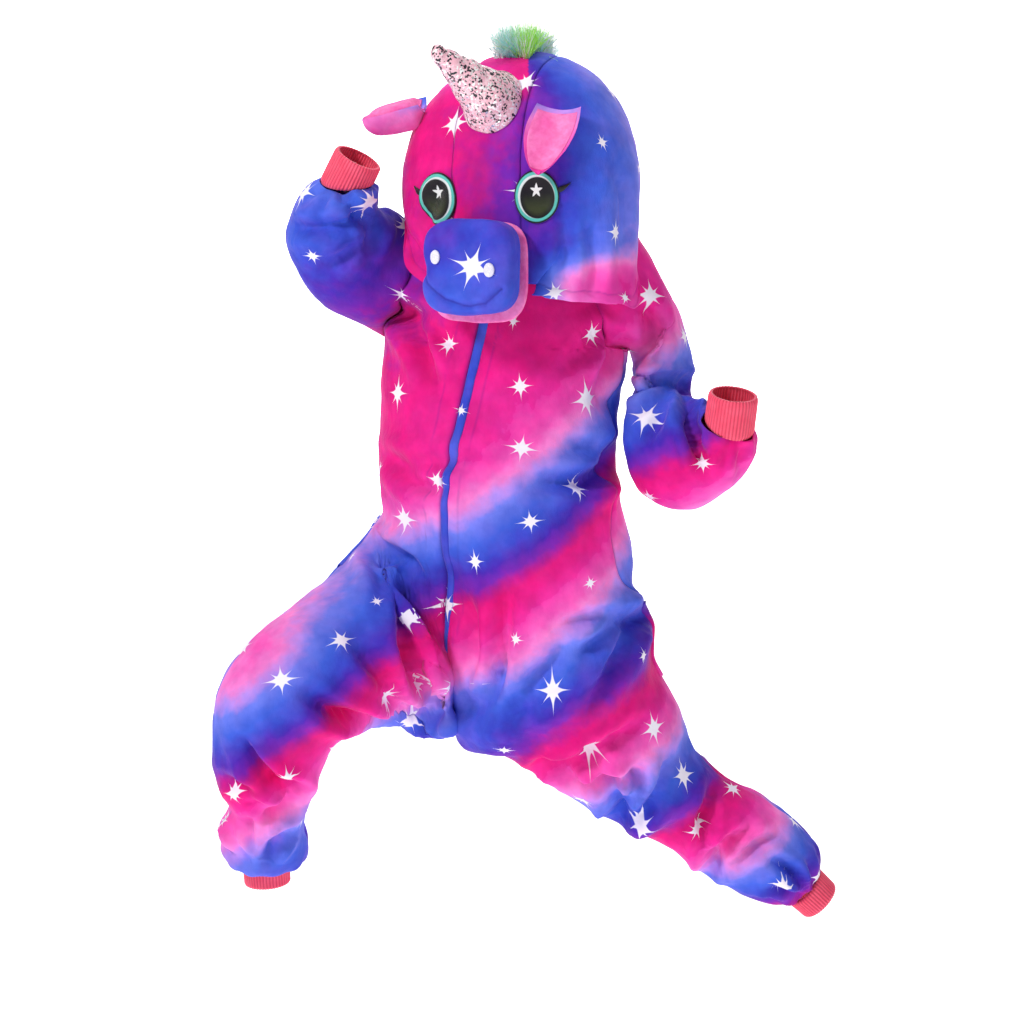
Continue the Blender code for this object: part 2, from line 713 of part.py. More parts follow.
def add_lash(name, half, material):
    """A felt flick that points out and up from the eye's outer corner."""

    def place_at(share, angle, out):
        along = (1 + share * math.cos(angle)) / 2
        beside = EYE_BESIDE + EYE_HALF_WIDTH + 0.001 + LASH_LENGTH * along
        up = EYE_UP + 0.008 + 0.006 * along + LASH_HALF_HEIGHT * (1.1 - along) * share * math.sin(angle)
        return on_hood(half * beside, up, out)

    return add_disc(name, place_at, PATCH_LIFT, PATCH_LIFT + FELT, material, rings=1, sides=12)


def signed_power(value, power):
    return math.copysign(abs(value) ** power, value)


def add_cushion(name, middle, halves, squareness, material, rings=9, sides=20):
    """A stuffed, box-like rounded form. middle and halves are beside, ahead and up in the head's directions."""
    points = []
    for ring in range(rings + 1):
        level = math.pi * ring / rings
        for k in range(sides):
            angle = 2 * math.pi * k / sides
            beside = signed_power(math.sin(level), squareness) * signed_power(math.cos(angle), squareness)
            up = signed_power(math.sin(level), squareness) * signed_power(math.sin(angle), squareness)
            ahead = signed_power(math.cos(level), squareness)
            if ring in (0, rings) and k:
                continue
            points.append(
                head_place(
                    middle[0] + halves[0] * beside,
                    middle[1] + halves[1] * ahead,
                    middle[2] + halves[2] * up,
                )
            )
    faces = []
    last = len(points) - 1
    for k in range(sides):
        n = (k + 1) % sides
        faces.append((0, 1 + k, 1 + n))
        faces.append((last, last - sides + n, last - sides + k))
        for ring in range(rings - 2):
            first = 1 + ring * sides
            faces.append((first + k, first + sides + k, first + sides + n, first + n))
    return add_mesh(name, points, outward(points, faces), material)


MUZZLE_MIDDLE = (0.000, 0.1710, -0.101)
MUZZLE_HALVES = (0.061, 0.0260, 0.058)
RIM_MIDDLE = (-0.004, 0.1395, -0.106)
RIM_HALVES = (0.065, 0.0045, 0.062)
MUZZLE_SQUARENESS = 0.55
NOSTRIL_BESIDE = 0.036
NOSTRIL_UP = 0.004
NOSTRIL_HALF_WIDTH = 0.0065
NOSTRIL_HALF_HEIGHT = 0.0085


def muzzle_front(beside, up, out):
    """The muzzle's surface ahead of a place beside and above its middle."""
    across = abs(beside / MUZZLE_HALVES[0]) ** (2 / MUZZLE_SQUARENESS)
    above = abs(up / MUZZLE_HALVES[2]) ** (2 / MUZZLE_SQUARENESS)
    ahead = max(0.0, 1 - across - above) ** (MUZZLE_SQUARENESS / 2)
    return head_place(
        MUZZLE_MIDDLE[0] + beside,
        MUZZLE_MIDDLE[1] + MUZZLE_HALVES[1] * ahead + out,
        MUZZLE_MIDDLE[2] + up,
    )


def add_nostril(name, half, material):
    def place_at(share, angle, out):
        beside = half * NOSTRIL_BESIDE + NOSTRIL_HALF_WIDTH * share * math.cos(angle)
        up = NOSTRIL_UP * (3 if half == RIGHT else -1) + NOSTRIL_HALF_HEIGHT * share * math.sin(angle)
        return muzzle_front(beside, up, out)

    return add_disc(name, place_at, PATCH_LIFT, PATCH_LIFT + FELT, material, rings=1, sides=14)


HORN_UP = 0.100
HORN_TIP = (-0.034, 0.196, 0.156)
HORN_RADIUS = 0.038
HORN_TIP_RADIUS = 0.009
HORN_ROWS = 7
HORN_SIDES = 18
HORN_LIFT = 0.0030


def add_horn(name, material):
    """A stuffed cone of sequin cloth. Its base lies on the hood, and it ends in a round tip."""
    tip = head_place(*HORN_TIP)
    base = on_hood(0.0, HORN_UP, HORN_LIFT)
    ahead = unit(tip - base)
    side = unit(np.cross(ahead, (0.0, 0.0, 1.0)))
    up = np.cross(side, ahead)
    angles = even(0, 2 * math.pi, HORN_SIDES)[:-1]
    points = [base]
    points += [on_hood(-HORN_RADIUS * math.cos(a), HORN_UP + HORN_RADIUS * math.sin(a), HORN_LIFT) for a in angles]
    for row in range(1, HORN_ROWS + 1):
        share = row / HORN_ROWS
        radius = HORN_TIP_RADIUS + (HORN_RADIUS - HORN_TIP_RADIUS) * (1 - share) ** 1.15
        centre = base + (tip - base) * share
        points += [centre + side * radius * math.cos(a) + up * radius * math.sin(a) for a in angles]
    points.append(tip + ahead * HORN_TIP_RADIUS * 0.7)
    faces = []
    last = len(points) - 1
    for k in range(HORN_SIDES):
        n = (k + 1) % HORN_SIDES
        faces.append((0, 1 + n, 1 + k))
        faces.append((last, last - HORN_SIDES + k, last - HORN_SIDES + n))
        for row in range(HORN_ROWS):
            first = 1 + row * HORN_SIDES
            faces.append((first + k, first + n, first + HORN_SIDES + n, first + HORN_SIDES + k))
    return add_mesh(name, points, outward(points, faces), material)


# Ears, in the head's directions. base: beside and above the head's middle, on the hood. tip: where the leaf ends.
# across: the direction across the leaf. cup: how deeply the leaf is hollowed.
Ear = namedtuple("Ear", "base tip across half_width cup")
EARS = {
    LEFT: Ear((0.085, 0.088), (0.078, 0.150, 0.010), (1.0, -0.25, -0.10), 0.034, 0.012),
    RIGHT: Ear((-0.104, 0.098), (-0.178, 0.116, 0.082), (0.20, 1.0, -0.35), 0.026, 0.010),
}
EAR_ROWS = 6
EAR_COLUMNS = 6
EAR_INNER_SHARE = 0.82
EAR_LAYER_GAP = 0.0030
EAR_LIFT = 0.0060


@lru_cache(maxsize=None)
def ear_base(half):
    return on_hood(EARS[half].base[0], EARS[half].base[1], EAR_LIFT)


def ear_point(half, along, across, out):
    ear = EARS[half]
    base = ear_base(half)
    tip = head_place(*ear.tip)
    side = unit(head_place(*ear.across) - HEAD)
    normal = unit(np.cross(tip - base, side))
    width = ear.half_width * math.sqrt(max(0.0, 1 - along**2.6)) * (0.80 + 0.55 * along * (1 - along))
    hollow = ear.cup * (across**2 - 0.4) * math.cos(along * 0.9)
    return base + (tip - base) * along + side * width * across + normal * (hollow + out)


def add_ear(name, half, share, low, high, material):
    grids = []
    for out in (high, low):
        grids.append(
            [
                [
                    ear_point(half, 0.5 + (along - 0.5) * share, across * share, out)
                    for across in even(-1, 1, EAR_COLUMNS)
                ]
                for along in even(0, 0.985, EAR_ROWS)
            ]
        )
    return add_wall(name, grids[0], grids[1], material)


MANE_START = 6.0
MANE_END = 9.6
MANE_ROWS = 12
MANE_SHARE = 0.5
MANE_HEIGHT = 0.042
MANE_LIFT = 0.0008


def add_mane(name, material):
    """The fur's reach: a crest along the hood's midline, highest at the crown."""
    outside = []
    inside = []
    for place in even(MANE_START, MANE_END, MANE_ROWS):
        along = (place - MANE_START) / (MANE_END - MANE_START)
        height = MANE_HEIGHT * (0.35 + 0.65 * math.sin(math.pi * min(1, along * 0.8 + 0.2)) ** 0.6)
        low = gusset_row(place, MANE_SHARE, MANE_LIFT)
        high = gusset_row(place, MANE_SHARE * 1.15, height)
        crest = gusset_row(place, MANE_SHARE * 0.6, height * 1.1)
        outside.append([high[0], crest[1], crest[2], crest[3], high[-1]])
        inside.append(low)
    return add_wall(name, outside, inside, material)


# --- Zip and pockets ---------------------------------------------------------------------------------------

ZIP_LAST = CROTCH_ROW - 0.9
TAPE_HALF = 0.011
TAPE_THICKNESS = 0.0014
TAPE_DEPTH = 0.0018
PLACKET_WIDTH = 0.013
PLACKET_LIFT = 0.0014
PLACKET_THICKNESS = 0.0020


def beside_edge(half, edge, place, distance, out):
    """A point of a front panel's flat facets, a distance from its centre (-1) or side (0) edge."""
    reach = armhole_reach(place)
    arounds = even(-1, -reach, PANEL_COLUMNS)
    start, beside = (arounds[0], arounds[1]) if edge < 0 else (arounds[-1], arounds[-2])
    first = cloth(half, start, place, out)
    second = cloth(half, beside, place, out)
    return first + unit(second - first) * distance


def zip_places():
    return [place for place in panel_places() if 0 < place < ZIP_LAST]


def add_zip_tape(name, material):
    outside = []
    inside = []
    for place in zip_places():
        for grid, out in (
            (outside, -FLEECE - TAPE_DEPTH),
            (inside, -FLEECE - TAPE_DEPTH - TAPE_THICKNESS),
        ):
            grid.append(
                [
                    beside_edge(RIGHT, -1, place, TAPE_HALF, out),
                    cloth(LEFT, -1, place, out),
                    beside_edge(LEFT, -1, place, TAPE_HALF, out),
                ]
            )
    return add_wall(name, outside, inside, material)


def add_placket(name, material):
    outside = []
    inside = []
    for place in zip_places():
        for grid, out in ((outside, PLACKET_LIFT + PLACKET_THICKNESS), (inside, PLACKET_LIFT)):
            grid.append([beside_edge(LEFT, -1, place, distance, out) for distance in (0.0, PLACKET_WIDTH)])
    return add_wall(name, outside, inside, material)


SLIDER_PLACE = 1.2
SLIDER_SIZE = (0.008, 0.004, 0.013)


def add_slider(name, material):
    """The zip's slider, at the top of the closed zip, just ahead of the placket."""
    lift = PLACKET_LIFT + PLACKET_THICKNESS + 0.0008 + SLIDER_SIZE[1] / 2
    middle = cloth(LEFT, -1, SLIDER_PLACE, lift)
    ahead = tube_normal(LEFT, -1, SLIDER_PLACE)
    down = unit(tube_point(LEFT, -1, SLIDER_PLACE + PROBE) - tube_point(LEFT, -1, SLIDER_PLACE))
    across = np.cross(ahead, down)
    points = [
        middle + across * SLIDER_SIZE[0] / 2 * a + ahead * SLIDER_SIZE[1] / 2 * b + down * SLIDER_SIZE[2] / 2 * c
        for a in (-1, 1)
        for b in (-1, 1)
        for c in (-1, 1)
    ]
    faces = [(0, 1, 3, 2), (4, 6, 7, 5), (0, 4, 5, 1), (2, 3, 7, 6), (0, 2, 6, 4), (1, 5, 7, 3)]
    return add_mesh(name, points, outward(points, faces), material)


POCKET_TOP = {LEFT: 8.7, RIGHT: 8.5}
POCKET_BOTTOM = {LEFT: 10.6, RIGHT: 9.9}
POCKET_WIDTH = 0.012
POCKET_INSET = 0.0015
POCKET_LIFT = 0.0010


def add_pocket(name, half, material):
    """The folded lip of the pocket's mouth, on the front panel along the side seam."""
    outside = []
    inside = []
    for place in panel_places():
        if POCKET_TOP[half] < place < POCKET_BOTTOM[half]:
            for grid, out in ((outside, POCKET_LIFT + FLEECE), (inside, POCKET_LIFT)):
                grid.append([beside_edge(half, 0, place, distance, out) for distance in (POCKET_WIDTH, POCKET_INSET)])
    return add_wall(name, outside, inside, material)


# --- The garment -------------------------------------------------------------------------------------------


def add_cuffs(knit):
    for half, word in ((LEFT, "left"), (RIGHT, "right")):
        outer = sleeve_rings(half, 0.0)[-1]
        inner = sleeve_rings(half, -FLEECE)[-1]
        add_cuff(f"cuff_wrist_{word}", outer, inner, WRIST_CUFFS[half], knit)
        outer = ankle_ring(half, 0.0)
        inner = ankle_ring(half, -FLEECE)
        add_cuff(f"cuff_ankle_{word}", outer, inner, ANKLE_CUFFS[half], knit)


def add_hood(fleece, pink, fur, white, black, sequin):
    add_gusset("hood_gusset", fleece)
    add_cushion("muzzle", MUZZLE_MIDDLE, MUZZLE_HALVES, MUZZLE_SQUARENESS, fleece)
    add_cushion("muzzle_rim", RIM_MIDDLE, RIM_HALVES, MUZZLE_SQUARENESS, pink, rings=5)
    add_horn("horn", sequin)
    add_mane("mane", fur)
    for half, word in ((LEFT, "left"), (RIGHT, "right")):
        add_hood_side(f"hood_{word}", half, fleece)
        add_eye(f"eye_{word}", half, white)
        add_lash(f"lash_{word}", half, black)
        add_nostril(f"nostril_{word}", half, white)
        add_ear(f"ear_{word}_outer", half, 1.0, -FLEECE, 0.0, fleece)
        add_ear(f"ear_{word}_inner", half, EAR_INNER_SHARE, EAR_LAYER_GAP, EAR_LAYER_GAP + FLEECE, pink)


def main():
    for thing in list(bpy.data.objects):
        bpy.data.objects.remove(thing, do_unlink=True)
    fleece = paint("printed_fleece", (0.45, 0.20, 0.75), 0.85)
    pink = paint("pink_fleece", (0.96, 0.45, 0.75), 0.85)
    knit = paint("rib_knit", (0.95, 0.22, 0.30), 0.80)
    fur = paint("mane_fur", (0.62, 0.90, 0.82), 0.90)
    white = paint("eye_embroidery", (0.92, 0.95, 0.95), 0.60)
    black = paint("lash_felt", (0.02, 0.02, 0.03), 0.70)
    sequin = paint("horn_sequin", (0.95, 0.78, 0.84), 0.35)
    tape = paint("zip_tape", (0.20, 0.10, 0.55), 0.70)
    for half, word in ((LEFT, "left"), (RIGHT, "right")):
        add_body_panel(f"front_{word}", half, True, fleece)
        add_body_panel(f"back_{word}", half, False, fleece)
        add_sleeve(f"sleeve_{word}", half, fleece)
        add_pocket(f"pocket_{word}", half, fleece)
    add_cuffs(knit)
    add_hood(fleece, pink, fur, white, black, sequin)
    add_zip_tape("zip_tape", tape)
    add_placket("zip_placket", fleece)
    add_slider("zip_slider", tape)


main()
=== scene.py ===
"""Looks for the unicorn onesie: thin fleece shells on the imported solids, with folds, print, pile, knit and fur.

Metres, +Z up, the garment faces -Y, +X is the wearer's left, the origin is the base of the neck.
"""

import math
from collections import namedtuple

import bpy
import numpy as np
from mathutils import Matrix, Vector, noise


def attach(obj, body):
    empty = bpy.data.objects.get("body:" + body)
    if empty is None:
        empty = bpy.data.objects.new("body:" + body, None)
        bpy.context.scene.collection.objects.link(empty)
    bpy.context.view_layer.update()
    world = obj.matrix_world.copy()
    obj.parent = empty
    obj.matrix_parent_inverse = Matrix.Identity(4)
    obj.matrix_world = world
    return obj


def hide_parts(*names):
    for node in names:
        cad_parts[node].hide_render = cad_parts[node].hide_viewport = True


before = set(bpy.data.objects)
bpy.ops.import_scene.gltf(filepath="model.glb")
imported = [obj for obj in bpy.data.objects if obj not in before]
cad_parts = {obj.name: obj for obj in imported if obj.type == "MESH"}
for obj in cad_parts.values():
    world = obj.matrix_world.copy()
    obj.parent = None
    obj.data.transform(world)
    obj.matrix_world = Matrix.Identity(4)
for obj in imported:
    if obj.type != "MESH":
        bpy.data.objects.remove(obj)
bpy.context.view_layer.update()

LEFT = 1
RIGHT = -1
WORDS = {LEFT: "left", RIGHT: "right"}
FLEECE = 0.0016
SEAM_GAP = 0.0003
PROBE = 1e-4

# --- The garment's form: the same sizes as the solids ------------------------------------------------------

# Body rows, neck to hip. turn: the body's heading towards +X's right hand, in degrees. tilt: left side lowered.
TorsoRow = namedtuple("TorsoRow", "x y z half_width front back turn tilt")
TORSO = [
    TorsoRow(0.004, 0.020, 0.022, 0.078, 0.070, 0.066, 8, 0),
    TorsoRow(0.004, 0.018, 0.012, 0.116, 0.086, 0.080, 9, 0),
    TorsoRow(0.005, 0.014, -0.008, 0.152, 0.100, 0.096, 11, 0),
    TorsoRow(0.003, 0.008, -0.050, 0.164, 0.112, 0.108, 13, 0),
    TorsoRow(-0.004, 0.004, -0.110, 0.163, 0.118, 0.112, 16, 1),
    TorsoRow(-0.012, 0.002, -0.180, 0.160, 0.120, 0.112, 20, 3),
    TorsoRow(-0.017, 0.000, -0.250, 0.160, 0.124, 0.112, 25, 5),
    TorsoRow(-0.017, 0.000, -0.325, 0.167, 0.134, 0.116, 31, 9),
    TorsoRow(-0.007, 0.002, -0.398, 0.182, 0.140, 0.130, 36, 15),
]

# Leg rows, groin to ankle: the inseam side, the outer side, and how far the cloth stands out before and behind.
TubeRow = namedtuple("TubeRow", "inner outer front back")
CROTCH = (-0.075, 0.000, -0.655)
LEGS = {
    RIGHT: [
        TubeRow(CROTCH, (-0.196, 0.040, -0.418), 0.112, 0.108),
        TubeRow((-0.122, -0.030, -0.648), (-0.233, 0.000, -0.455), 0.104, 0.096),
        TubeRow((-0.163, -0.070, -0.641), (-0.275, -0.055, -0.491), 0.094, 0.086),
        TubeRow((-0.200, -0.100, -0.648), (-0.326, -0.112, -0.527), 0.086, 0.078),
        TubeRow((-0.229, -0.110, -0.668), (-0.364, -0.140, -0.578), 0.078, 0.074),
        TubeRow((-0.246, -0.098, -0.704), (-0.377, -0.130, -0.648), 0.070, 0.070),
        TubeRow((-0.262, -0.082, -0.741), (-0.374, -0.110, -0.704), 0.062, 0.064),
        TubeRow((-0.267, -0.070, -0.770), (-0.360, -0.092, -0.745), 0.056, 0.058),
        TubeRow((-0.262, -0.058, -0.796), (-0.374, -0.076, -0.780), 0.056, 0.058),
        TubeRow((-0.268, -0.050, -0.820), (-0.372, -0.062, -0.808), 0.050, 0.052),
        TubeRow((-0.289, -0.050, -0.829), (-0.348, -0.054, -0.822), 0.031, 0.031),
    ],
    LEFT: [
        TubeRow(CROTCH, (0.178, -0.012, -0.506), 0.126, 0.124),
        TubeRow((-0.024, 0.012, -0.686), (0.182, 0.004, -0.567), 0.116, 0.112),
        TubeRow((0.022, 0.022, -0.714), (0.204, 0.016, -0.606), 0.104, 0.100),
        TubeRow((0.071, 0.032, -0.750), (0.226, 0.026, -0.650), 0.094, 0.090),
        TubeRow((0.123, 0.042, -0.785), (0.240, 0.036, -0.692), 0.082, 0.078),
        TubeRow((0.170, 0.052, -0.811), (0.266, 0.046, -0.722), 0.072, 0.070),
        TubeRow((0.214, 0.060, -0.835), (0.302, 0.054, -0.748), 0.066, 0.066),
        TubeRow((0.260, 0.068, -0.869), (0.342, 0.062, -0.771), 0.062, 0.064),
        TubeRow((0.308, 0.076, -0.899), (0.382, 0.070, -0.801), 0.060, 0.062),
        TubeRow((0.347, 0.082, -0.911), (0.408, 0.076, -0.834), 0.050, 0.052),
        TubeRow((0.374, 0.088, -0.914), (0.414, 0.082, -0.868), 0.031, 0.031),
    ],
}

# Armholes: the rows of the body that their top and bottom lie at, and how far round they reach from the side seam
ARMHOLE_TOP = 1.9
ARMHOLE_BOTTOM = 4.7
ARMHOLE_REACH = 0.44

# Sleeve rows, below the armhole to the cuff seam. inner is the underarm and elbow side, outer the shoulder's side.
SLEEVES = {
    RIGHT: [
        TubeRow((-0.200, -0.008, -0.131), (-0.160, 0.006, 0.014), 0.074, 0.070),
        TubeRow((-0.240, -0.030, -0.107), (-0.168, -0.018, 0.012), 0.066, 0.066),
        TubeRow((-0.271, -0.050, -0.067), (-0.168, -0.042, 0.012), 0.062, 0.062),
        TubeRow((-0.284, -0.062, -0.030), (-0.170, -0.056, 0.018), 0.060, 0.060),
        TubeRow((-0.278, -0.072, 0.003), (-0.168, -0.068, 0.026), 0.056, 0.056),
        TubeRow((-0.264, -0.078, 0.032), (-0.166, -0.076, 0.036), 0.049, 0.049),
        TubeRow((-0.240, -0.083, 0.046), (-0.174, -0.083, 0.042), 0.032, 0.032),
    ],
    LEFT: [
        TubeRow((0.154, -0.006, -0.172), (0.194, -0.003, -0.078), 0.068, 0.066),
        TubeRow((0.158, -0.012, -0.208), (0.219, -0.008, -0.128), 0.066, 0.064),
        TubeRow((0.159, -0.020, -0.250), (0.228, -0.016, -0.168), 0.064, 0.062),
        TubeRow((0.160, -0.037, -0.302), (0.217, -0.032, -0.200), 0.062, 0.060),
        TubeRow((0.170, -0.060, -0.350), (0.216, -0.052, -0.216), 0.062, 0.060),
        TubeRow((0.220, -0.084, -0.368), (0.223, -0.076, -0.224), 0.060, 0.060),
        TubeRow((0.272, -0.110, -0.336), (0.231, -0.098, -0.230), 0.056, 0.056),
        TubeRow((0.298, -0.126, -0.300), (0.234, -0.118, -0.244), 0.044, 0.044),
        TubeRow((0.299, -0.140, -0.268), (0.239, -0.137, -0.250), 0.031, 0.031),
    ],
}

# Cuffs: where each ends, and its radius there
Cuff = namedtuple("Cuff", "x y z radius")
WRIST_CUFFS = {RIGHT: Cuff(-0.191, -0.094, 0.074, 0.030), LEFT: Cuff(0.273, -0.152, -0.218, 0.030)}
ANKLE_CUFFS = {RIGHT: Cuff(-0.317, -0.049, -0.855, 0.029), LEFT: Cuff(0.418, 0.090, -0.914, 0.029)}

# The largest folds: troughs that run from (x0, z0) past (x1, z1) to (x2, z2) on the front or the back of the cloth
Fold = namedtuple("Fold", "x0 z0 x1 z1 x2 z2 half_width depth side")
FRONT = -1
BACK = 1
FOLDS = [
    Fold(0.130, -0.232, 0.180, -0.214, 0.212, -0.200, 0.016, 0.014, FRONT),
    Fold(-0.085, -0.450, -0.020, -0.590, 0.036, -0.672, 0.020, 0.011, FRONT),
    Fold(0.060, -0.728, 0.115, -0.742, 0.145, -0.748, 0.014, 0.009, FRONT),
    Fold(0.230, -0.682, 0.215, -0.730, 0.185, -0.765, 0.014, 0.010, FRONT),
    Fold(0.270, -0.738, 0.262, -0.770, 0.200, -0.806, 0.014, 0.009, FRONT),
    Fold(-0.365, -0.748, -0.340, -0.760, -0.300, -0.752, 0.012, 0.007, FRONT),
    Fold(-0.172, -0.004, -0.215, -0.020, -0.262, -0.030, 0.012, 0.008, FRONT),
    Fold(-0.120, -0.250, -0.010, -0.300, 0.110, -0.330, 0.022, 0.010, BACK),
    Fold(-0.130, -0.500, -0.060, -0.560, 0.030, -0.640, 0.022, 0.014, BACK),
    Fold(0.160, -0.620, 0.110, -0.680, 0.080, -0.740, 0.018, 0.010, BACK),
]

# Hood rows from the brow over the crown to the nape, beside, ahead of and above the middle of the head.
# settle: how far the row has turned and moved from the bowed head (0) to the neck (1).
HEAD = np.array([0.023, -0.040, 0.038])
NECK = np.array([0.004, 0.018, 0.038])
HEAD_TURN = 25
NECK_TURN = 8
HoodRow = namedtuple("HoodRow", "settle mid_ahead mid_up wide wide_ahead wide_up")
HOOD = [
    HoodRow(0.00, 0.128, -0.120, 0.062, 0.118, -0.122),
    HoodRow(0.00, 0.130, -0.078, 0.084, 0.114, -0.095),
    HoodRow(0.00, 0.132, -0.026, 0.108, 0.100, -0.070),
    HoodRow(0.00, 0.132, 0.028, 0.134, 0.082, -0.040),
    HoodRow(0.00, 0.122, 0.082, 0.149, 0.058, -0.010),
    HoodRow(0.02, 0.094, 0.132, 0.155, 0.032, 0.010),
    HoodRow(0.12, 0.048, 0.164, 0.152, 0.004, 0.022),
    HoodRow(0.30, -0.010, 0.172, 0.143, -0.028, 0.024),
    HoodRow(0.50, -0.068, 0.150, 0.130, -0.056, 0.024),
    HoodRow(0.70, -0.106, 0.098, 0.114, -0.076, 0.022),
    HoodRow(0.90, -0.116, 0.036, 0.094, -0.086, 0.014),
    HoodRow(1.00, -0.088, -0.010, 0.062, -0.084, -0.006),
]
# The hood's lower edge beside each of those rows: the face opening's hem, then the neck seam
HoodEdge = namedtuple("HoodEdge", "beside ahead up")
HOOD_EDGES = {
    LEFT: [
        HoodEdge(0.058, 0.122, -0.134),
        HoodEdge(0.084, 0.112, -0.138),
        HoodEdge(0.108, 0.098, -0.141),
        HoodEdge(0.132, 0.080, -0.143),
        HoodEdge(0.150, 0.058, -0.145),
        HoodEdge(0.160, 0.034, -0.146),
        HoodEdge(0.152, 0.020, -0.104),
        HoodEdge(0.118, 0.036, -0.046),
        HoodEdge(0.084, 0.032, -0.012),
        HoodEdge(0.086, -0.004, -0.012),
        HoodEdge(0.074, -0.046, -0.012),
        HoodEdge(0.052, -0.066, -0.012),
    ],
    RIGHT: [
        HoodEdge(0.060, 0.120, -0.134),
        HoodEdge(0.090, 0.112, -0.122),
        HoodEdge(0.124, 0.104, -0.098),
        HoodEdge(0.132, 0.092, -0.058),
        HoodEdge(0.138, 0.062, -0.018),
        HoodEdge(0.136, 0.030, -0.012),
        HoodEdge(0.122, 0.008, -0.012),
        HoodEdge(0.104, 0.004, -0.012),
        HoodEdge(0.092, 0.008, -0.012),
        HoodEdge(0.086, -0.004, -0.012),
        HoodEdge(0.074, -0.046, -0.012),
        HoodEdge(0.052, -0.066, -0.012),
    ],
}
GUSSET_HALF = 0.046  # half the width of the hood's middle strip

EYE_BESIDE = 0.0660
EYE_UP = -0.016
EYE_HALF_WIDTH = 0.0270
EYE_HALF_HEIGHT = 0.0320
PATCH_LIFT = 0.0006
LASH_LENGTH = 0.015
LASH_HALF_HEIGHT = 0.0045
MUZZLE_MIDDLE = (0.000, 0.1710, -0.101)
MUZZLE_HALVES = (0.061, 0.0260, 0.058)
RIM_MIDDLE = (-0.004, 0.1395, -0.106)
RIM_HALVES = (0.065, 0.0045, 0.062)
MUZZLE_SQUARENESS = 0.55
NOSTRIL_BESIDE = 0.036
NOSTRIL_UP = 0.004
NOSTRIL_HALF_WIDTH = 0.0065
NOSTRIL_HALF_HEIGHT = 0.0085
HORN_UP = 0.100
HORN_TIP = (-0.034, 0.196, 0.156)
HORN_RADIUS = 0.038
HORN_TIP_RADIUS = 0.009

# Ears, in the head's directions. base: beside and above the head's middle, on the hood. tip: where the leaf ends.
# across: the direction across the leaf. cup: how deeply the leaf is hollowed.
Ear = namedtuple("Ear", "base tip across half_width cup")
EARS = {
    LEFT: Ear((0.085, 0.088), (0.078, 0.150, 0.010), (1.0, -0.25, -0.10), 0.034, 0.012),
    RIGHT: Ear((-0.104, 0.098), (-0.178, 0.116, 0.082), (0.20, 1.0, -0.35), 0.026, 0.010),
}
EAR_LIFT = 0.0060
MANE_START = 6.0
MANE_END = 9.6
MANE_SHARE = 0.5
MANE_HEIGHT = 0.042
POCKET_TOP = {LEFT: 8.7, RIGHT: 8.5}
POCKET_BOTTOM = {LEFT: 10.6, RIGHT: 9.9}

CROTCH_ROW = len(TORSO)
LAST_ROW = CROTCH_ROW + len(LEGS[LEFT]) - 1
EDGE_BLEND = 3

# --- Creases: a trough from (x0, z0) past (x1, z1) to (x2, z2), on the front or the back of the cloth ---------

Crease = namedtuple("Crease", "x0 z0 x1 z1 x2 z2 half_width depth")
# Cloth bunches where the body bends, and creases fan out of each such place. heading and spread are in degrees, from
# the wearer's left, turning up. start: how far from the place a crease begins. bend: how far it bows, as a share of
# its length.
Fan = namedtuple("Fan", "x z heading spread count start length half_width depth bend")
UNEVEN = (1.0, 0.62, 0.86, 0.48, 0.93, 0.70, 0.55)  # shares of a fan's length, depth and spacing, taken in turn
HIP = {RIGHT: (-0.19, -0.42), LEFT: (0.19, -0.50)}
KNEE = {RIGHT: (-0.26, -0.71), LEFT: (0.13, -0.80)}
ANKLE = {RIGHT: (-0.32, -0.83), LEFT: (0.41, -0.91)}
ARMPIT = {RIGHT: (-0.16, -0.11), LEFT: (0.16, -0.13)}
INNER_ELBOW = {RIGHT: (-0.17, 0.01), LEFT: (0.23, -0.20)}
BODY_FANS = [
    Fan(CROTCH[0], CROTCH[2], 128, 62, 5, 0.030, 0.17, 0.013, 0.013, 0.10),
    Fan(CROTCH[0], CROTCH[2], 52, 70, 5, 0.030, 0.19, 0.014, 0.013, -0.12),
    Fan(CROTCH[0] + 0.09, CROTCH[2] - 0.05, 8, 44, 3, 0.020, 0.15, 0.012, 0.012, -0.10),
    Fan(*HIP[RIGHT], -48, 60, 4, 0.010, 0.13, 0.013, 0.009, 0.12),
    Fan(*HIP[LEFT], 205, 64, 4, 0.010, 0.14, 0.013, 0.0105, -0.10),
    Fan(-0.17, -0.30, -14, 46, 3, 0.010, 0.11, 0.013, 0.0065, -0.14),
    Fan(0.15, -0.29, 192, 54, 3, 0.010, 0.12, 0.014, 0.008, 0.12),
    Fan(*ARMPIT[RIGHT], -42, 58, 4, 0.010, 0.11, 0.013, 0.008, 0.10),
    Fan(*ARMPIT[LEFT], 216, 62, 4, 0.010, 0.11, 0.013, 0.008, -0.10),
    Fan(*KNEE[RIGHT], 168, 96, 5, 0.012, 0.10, 0.011, 0.012, 0.12),
    Fan(*KNEE[LEFT], 66, 84, 5, 0.012, 0.13, 0.012, 0.012, -0.12),
    Fan(KNEE[LEFT][0] + 0.13, KNEE[LEFT][1] - 0.07, 58, 70, 4, 0.012, 0.11, 0.011, 0.012, 0.14),
    Fan(*ANKLE[RIGHT], 92, 110, 5, 0.020, 0.07, 0.009, 0.008, 0.08),
    Fan(*ANKLE[LEFT], 136, 100, 4, 0.020, 0.08, 0.009, 0.008, -0.08),
]
